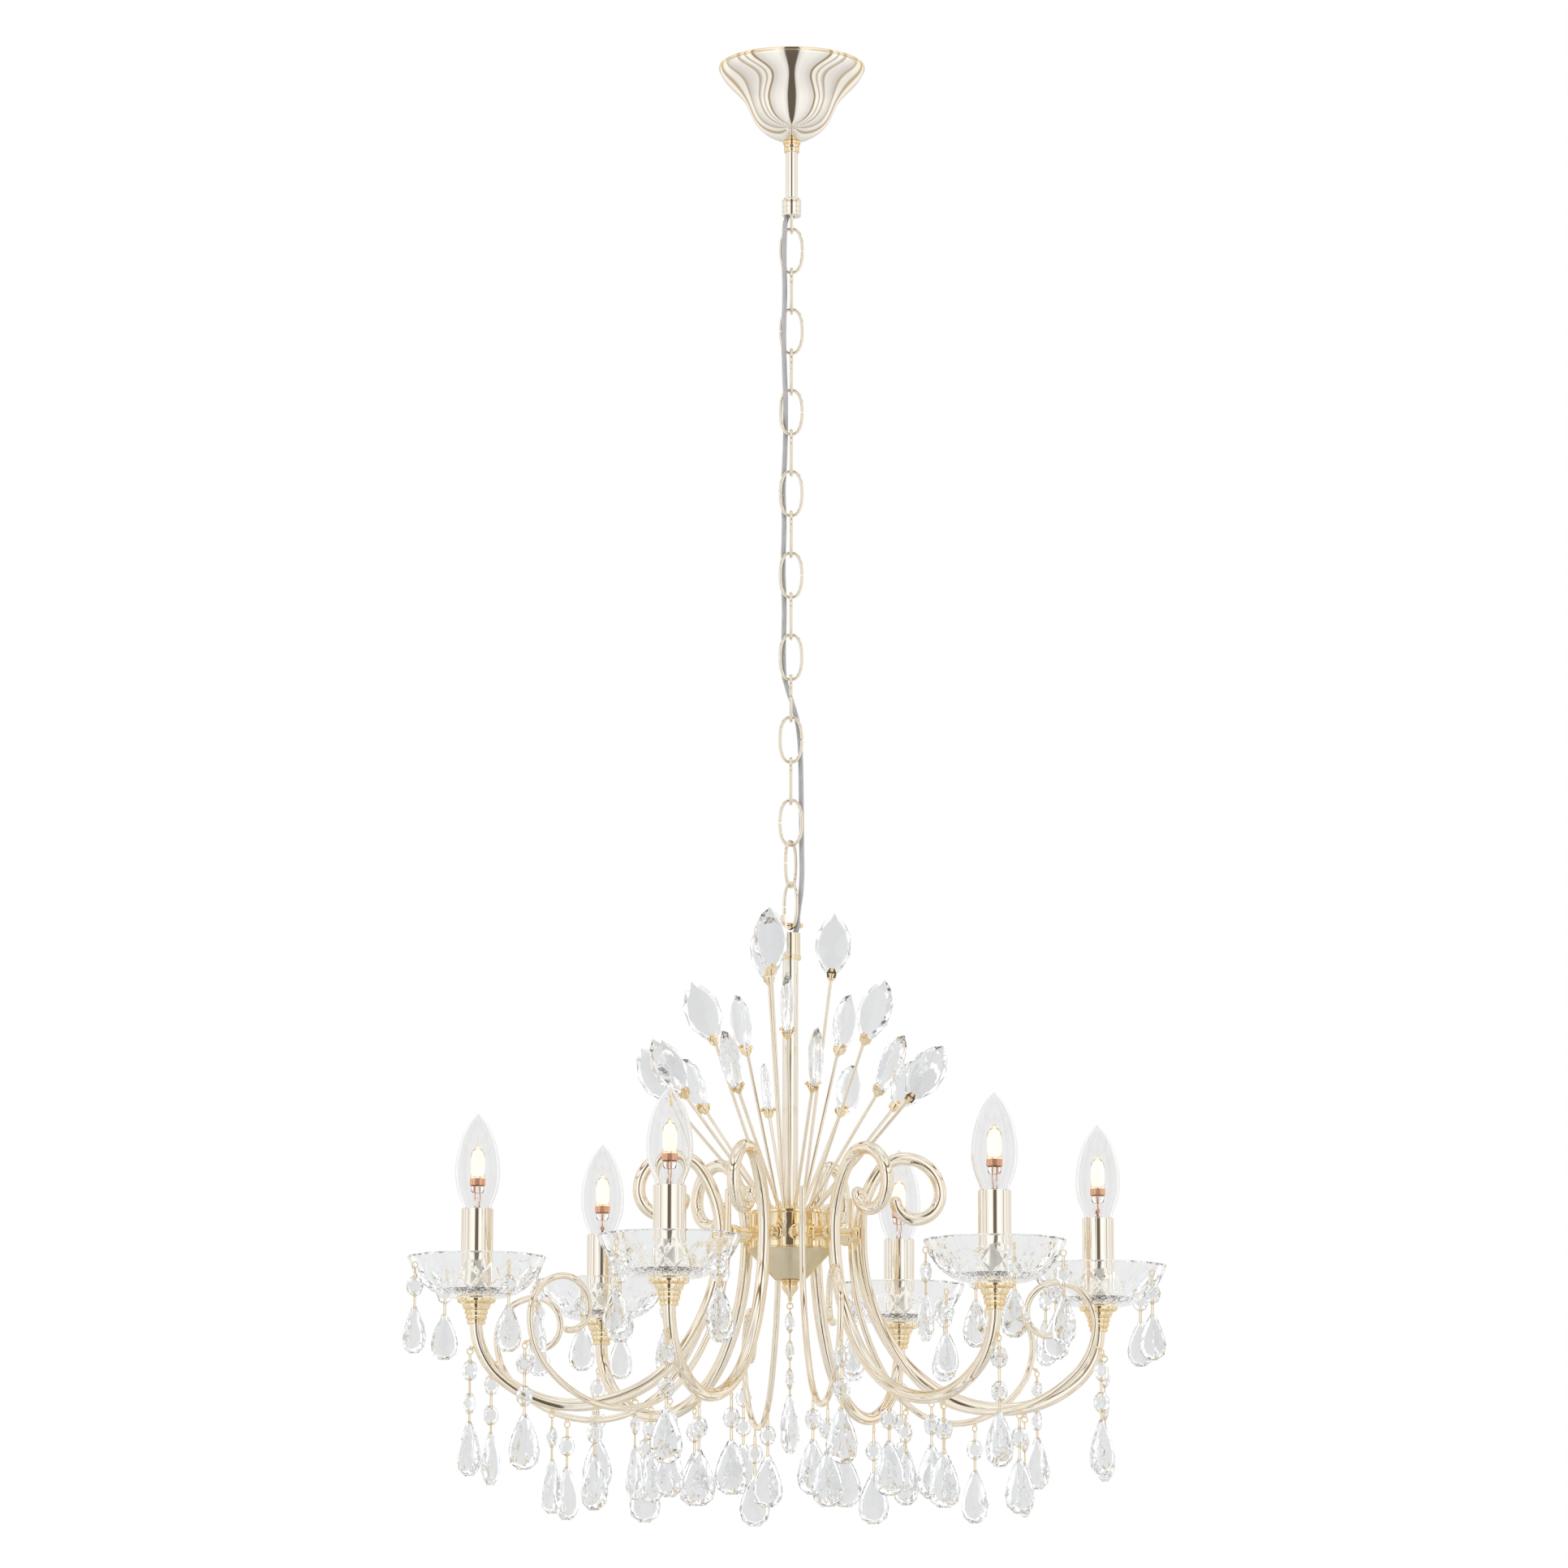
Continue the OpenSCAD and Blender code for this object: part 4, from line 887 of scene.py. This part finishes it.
# ------------------------------------------------------------------ studio
def world():
    """A white studio. The camera sees plain white; glass and metal see softboxes and warm edges."""
    w = bpy.data.worlds.new("studio")
    bpy.context.scene.world = w
    w.use_nodes = True
    nodes, links = w.node_tree.nodes, w.node_tree.links
    nodes.clear()
    out = nodes.new("ShaderNodeOutputWorld")
    where = nodes.new("ShaderNodeTexCoord")
    split = nodes.new("ShaderNodeSeparateXYZ")
    links.new(where.outputs["Generated"], split.inputs["Vector"])

    def maths(operation, a, b=None):
        node = nodes.new("ShaderNodeMath")
        node.operation = operation
        for socket, value in zip(node.inputs, (a, b)):
            if value is None:
                continue
            if isinstance(value, (int, float)):
                socket.default_value = value
            else:
                links.new(value, socket)
        return node.outputs["Value"]

    x, y, z = split.outputs["X"], split.outputs["Y"], split.outputs["Z"]
    # direction round the object: 0.5 towards the reference viewer, 0.75 to the right, 0 and 1 behind
    around = maths("ADD", maths("DIVIDE", maths("ARCTAN2", x, maths("MULTIPLY", y, -1.0)), TAU), 0.5)
    height = maths("ADD", maths("MULTIPLY", z, 0.5), 0.5)

    def ramp(value, stops):
        node = nodes.new("ShaderNodeValToRGB")
        node.color_ramp.interpolation = "EASE"
        while len(node.color_ramp.elements) < len(stops):
            node.color_ramp.elements.new(0.5)
        for element, (position, colour) in zip(node.color_ramp.elements, stops):
            element.position = position
            colour = (colour,) * 3 if isinstance(colour, (int, float)) else colour
            element.color = (*colour, 1)
        links.new(value, node.inputs["Fac"])
        return node.outputs["Color"]

    def deg(a):
        return 0.5 + a / 360

    dark, warm, amber = (0.16, 0.13, 0.10), (0.60, 0.50, 0.37), (0.45, 0.33, 0.19)
    side = [(14, 0.95), (24, 1.15), (40, 1.08), (56, 0.92), (61, 0.86), (63, amber), (66, amber), (69, 1.15),
            (75, 1.15), (79, warm), (82, 1.1), (86, 1.15), (90, 0.80), (94, warm), (98, 1.05), (106, 0.95),
            (118, 0.80), (124, warm), (128, 1.05), (138, 1.0), (144, warm), (148, warm), (153, 1.05),
            (163, 0.9), (168, 0.72)]
    # only 32 stops fit on one ramp, so each side has its own
    left = ramp(around, [(0.0, 0.72)] + [(deg(-a), c) for a, c in reversed(side)] + [(deg(-10), dark),
                                                                                     (1.0, dark)])
    right = ramp(around, [(0.0, dark), (deg(10), dark)] + [(deg(a), c) for a, c in side] + [(1.0, 0.72)])
    belt = nodes.new("ShaderNodeMix")
    belt.data_type = "RGBA"
    links.new(maths("GREATER_THAN", around, 0.5), belt.inputs["Factor"])
    links.new(left, belt.inputs["A"])
    links.new(right, belt.inputs["B"])
    # bands at other heights, which run along the arms and scrolls
    gap = (0.34, 0.25, 0.15)
    bands = ramp(height, [(0.0, 0.80), (0.25, 0.88), (0.45, 1.0), (0.68, 1.0), (0.705, (0.58, 0.46, 0.31)),
                          (0.725, 1.1), (0.78, 1.15), (0.81, gap), (0.825, gap), (0.85, 1.1)])
    banded = nodes.new("ShaderNodeMix")
    banded.data_type = "RGBA"
    banded.blend_type = "MULTIPLY"
    banded.inputs["Factor"].default_value = 1.0
    links.new(belt.outputs["Result"], banded.inputs["A"])
    links.new(bands, banded.inputs["B"])
    belt = banded.outputs["Result"]
    overhead = ramp(height, [(0.0, 0.8), (0.5, 0.9), (0.90, 1.0), (0.95, 0.7), (1.0, 1.1)])
    share = ramp(height, [(0.0, 0.0), (0.82, 0.0), (0.93, 1.0), (1.0, 1.0)])
    mix = nodes.new("ShaderNodeMix")
    mix.data_type = "RGBA"
    links.new(share, mix.inputs["Factor"])
    links.new(belt, mix.inputs["A"])
    links.new(overhead, mix.inputs["B"])
    ray = nodes.new("ShaderNodeLightPath")
    soft = nodes.new("ShaderNodeMix")
    soft.data_type = "RGBA"
    links.new(ray.outputs["Is Transmission Ray"], soft.inputs["Factor"])
    links.new(mix.outputs["Result"], soft.inputs["A"])
    # what is seen through glass: a grey wall behind, with white panels round it
    depth = maths("ADD", maths("MULTIPLY", y, 0.5), 0.5)
    panels = [(-1.0, 0.45), (-0.85, 0.5), (-0.75, 1.0), (-0.5, 1.1), (-0.35, 0.75), (-0.1, 0.8), (0.1, 1.1),
              (0.3, 1.15), (0.42, 0.66), (0.55, 0.62), (0.64, 1.3), (0.80, 1.4), (0.86, 1.0), (0.92, 0.84),
              (1.0, 0.83)]
    links.new(ramp(depth, [(0.5 + c / 2, v) for c, v in panels]), soft.inputs["B"])
    studio_light = nodes.new("ShaderNodeBackground")
    links.new(soft.outputs["Result"], studio_light.inputs["Color"])
    plain = nodes.new("ShaderNodeBackground")
    plain.inputs["Color"].default_value = (1, 1, 1, 1)
    choose = nodes.new("ShaderNodeMixShader")
    links.new(ray.outputs["Is Camera Ray"], choose.inputs["Fac"])
    links.new(studio_light.outputs["Background"], choose.inputs[1])
    links.new(plain.outputs["Background"], choose.inputs[2])
    links.new(choose.outputs["Shader"], out.inputs["Surface"])


world()


def area(name, where, size, watts, colour=(1, 1, 1)):
    light = bpy.data.lights.new(name, "AREA")
    light.shape = "RECTANGLE"
    light.size, light.size_y = size
    light.energy = watts
    light.color = colour
    ob = bpy.data.objects.new(name, light)
    bpy.context.scene.collection.objects.link(ob)
    ob.location = where
    ob.rotation_euler = (Vector((0, 0, -0.95)) - Vector(where)).to_track_quat("-Z", "Y").to_euler()
    ob.visible_camera = ob.visible_glossy = ob.visible_transmission = False


area("key", (-2.2, -2.6, 0.2), (0.9, 1.8), 12)
area("fill", (2.4, -2.2, -0.6), (0.9, 1.8), 8)

floor = mesh_object("studio_floor", Shape([(-4000, -4000, -1700), (4000, -4000, -1700), (4000, 4000, -1700),
                                           (-4000, 4000, -1700)], [(0, 1, 2, 3)]),
                    [plastic("pale_floor", (0.86, 0.86, 0.86), (0.83, 0.83, 0.83), 0.5, 0.6)], 0)
floor.visible_glossy = floor.visible_transmission = False

scene = bpy.context.scene
scene.view_settings.view_transform = "Standard"
scene.cycles.max_bounces = 24
scene.cycles.transmission_bounces = 24
scene.cycles.glossy_bounces = 8
scene.cycles.transparent_max_bounces = 16
scene.cycles.caustics_reflective = False
scene.cycles.caustics_refractive = False
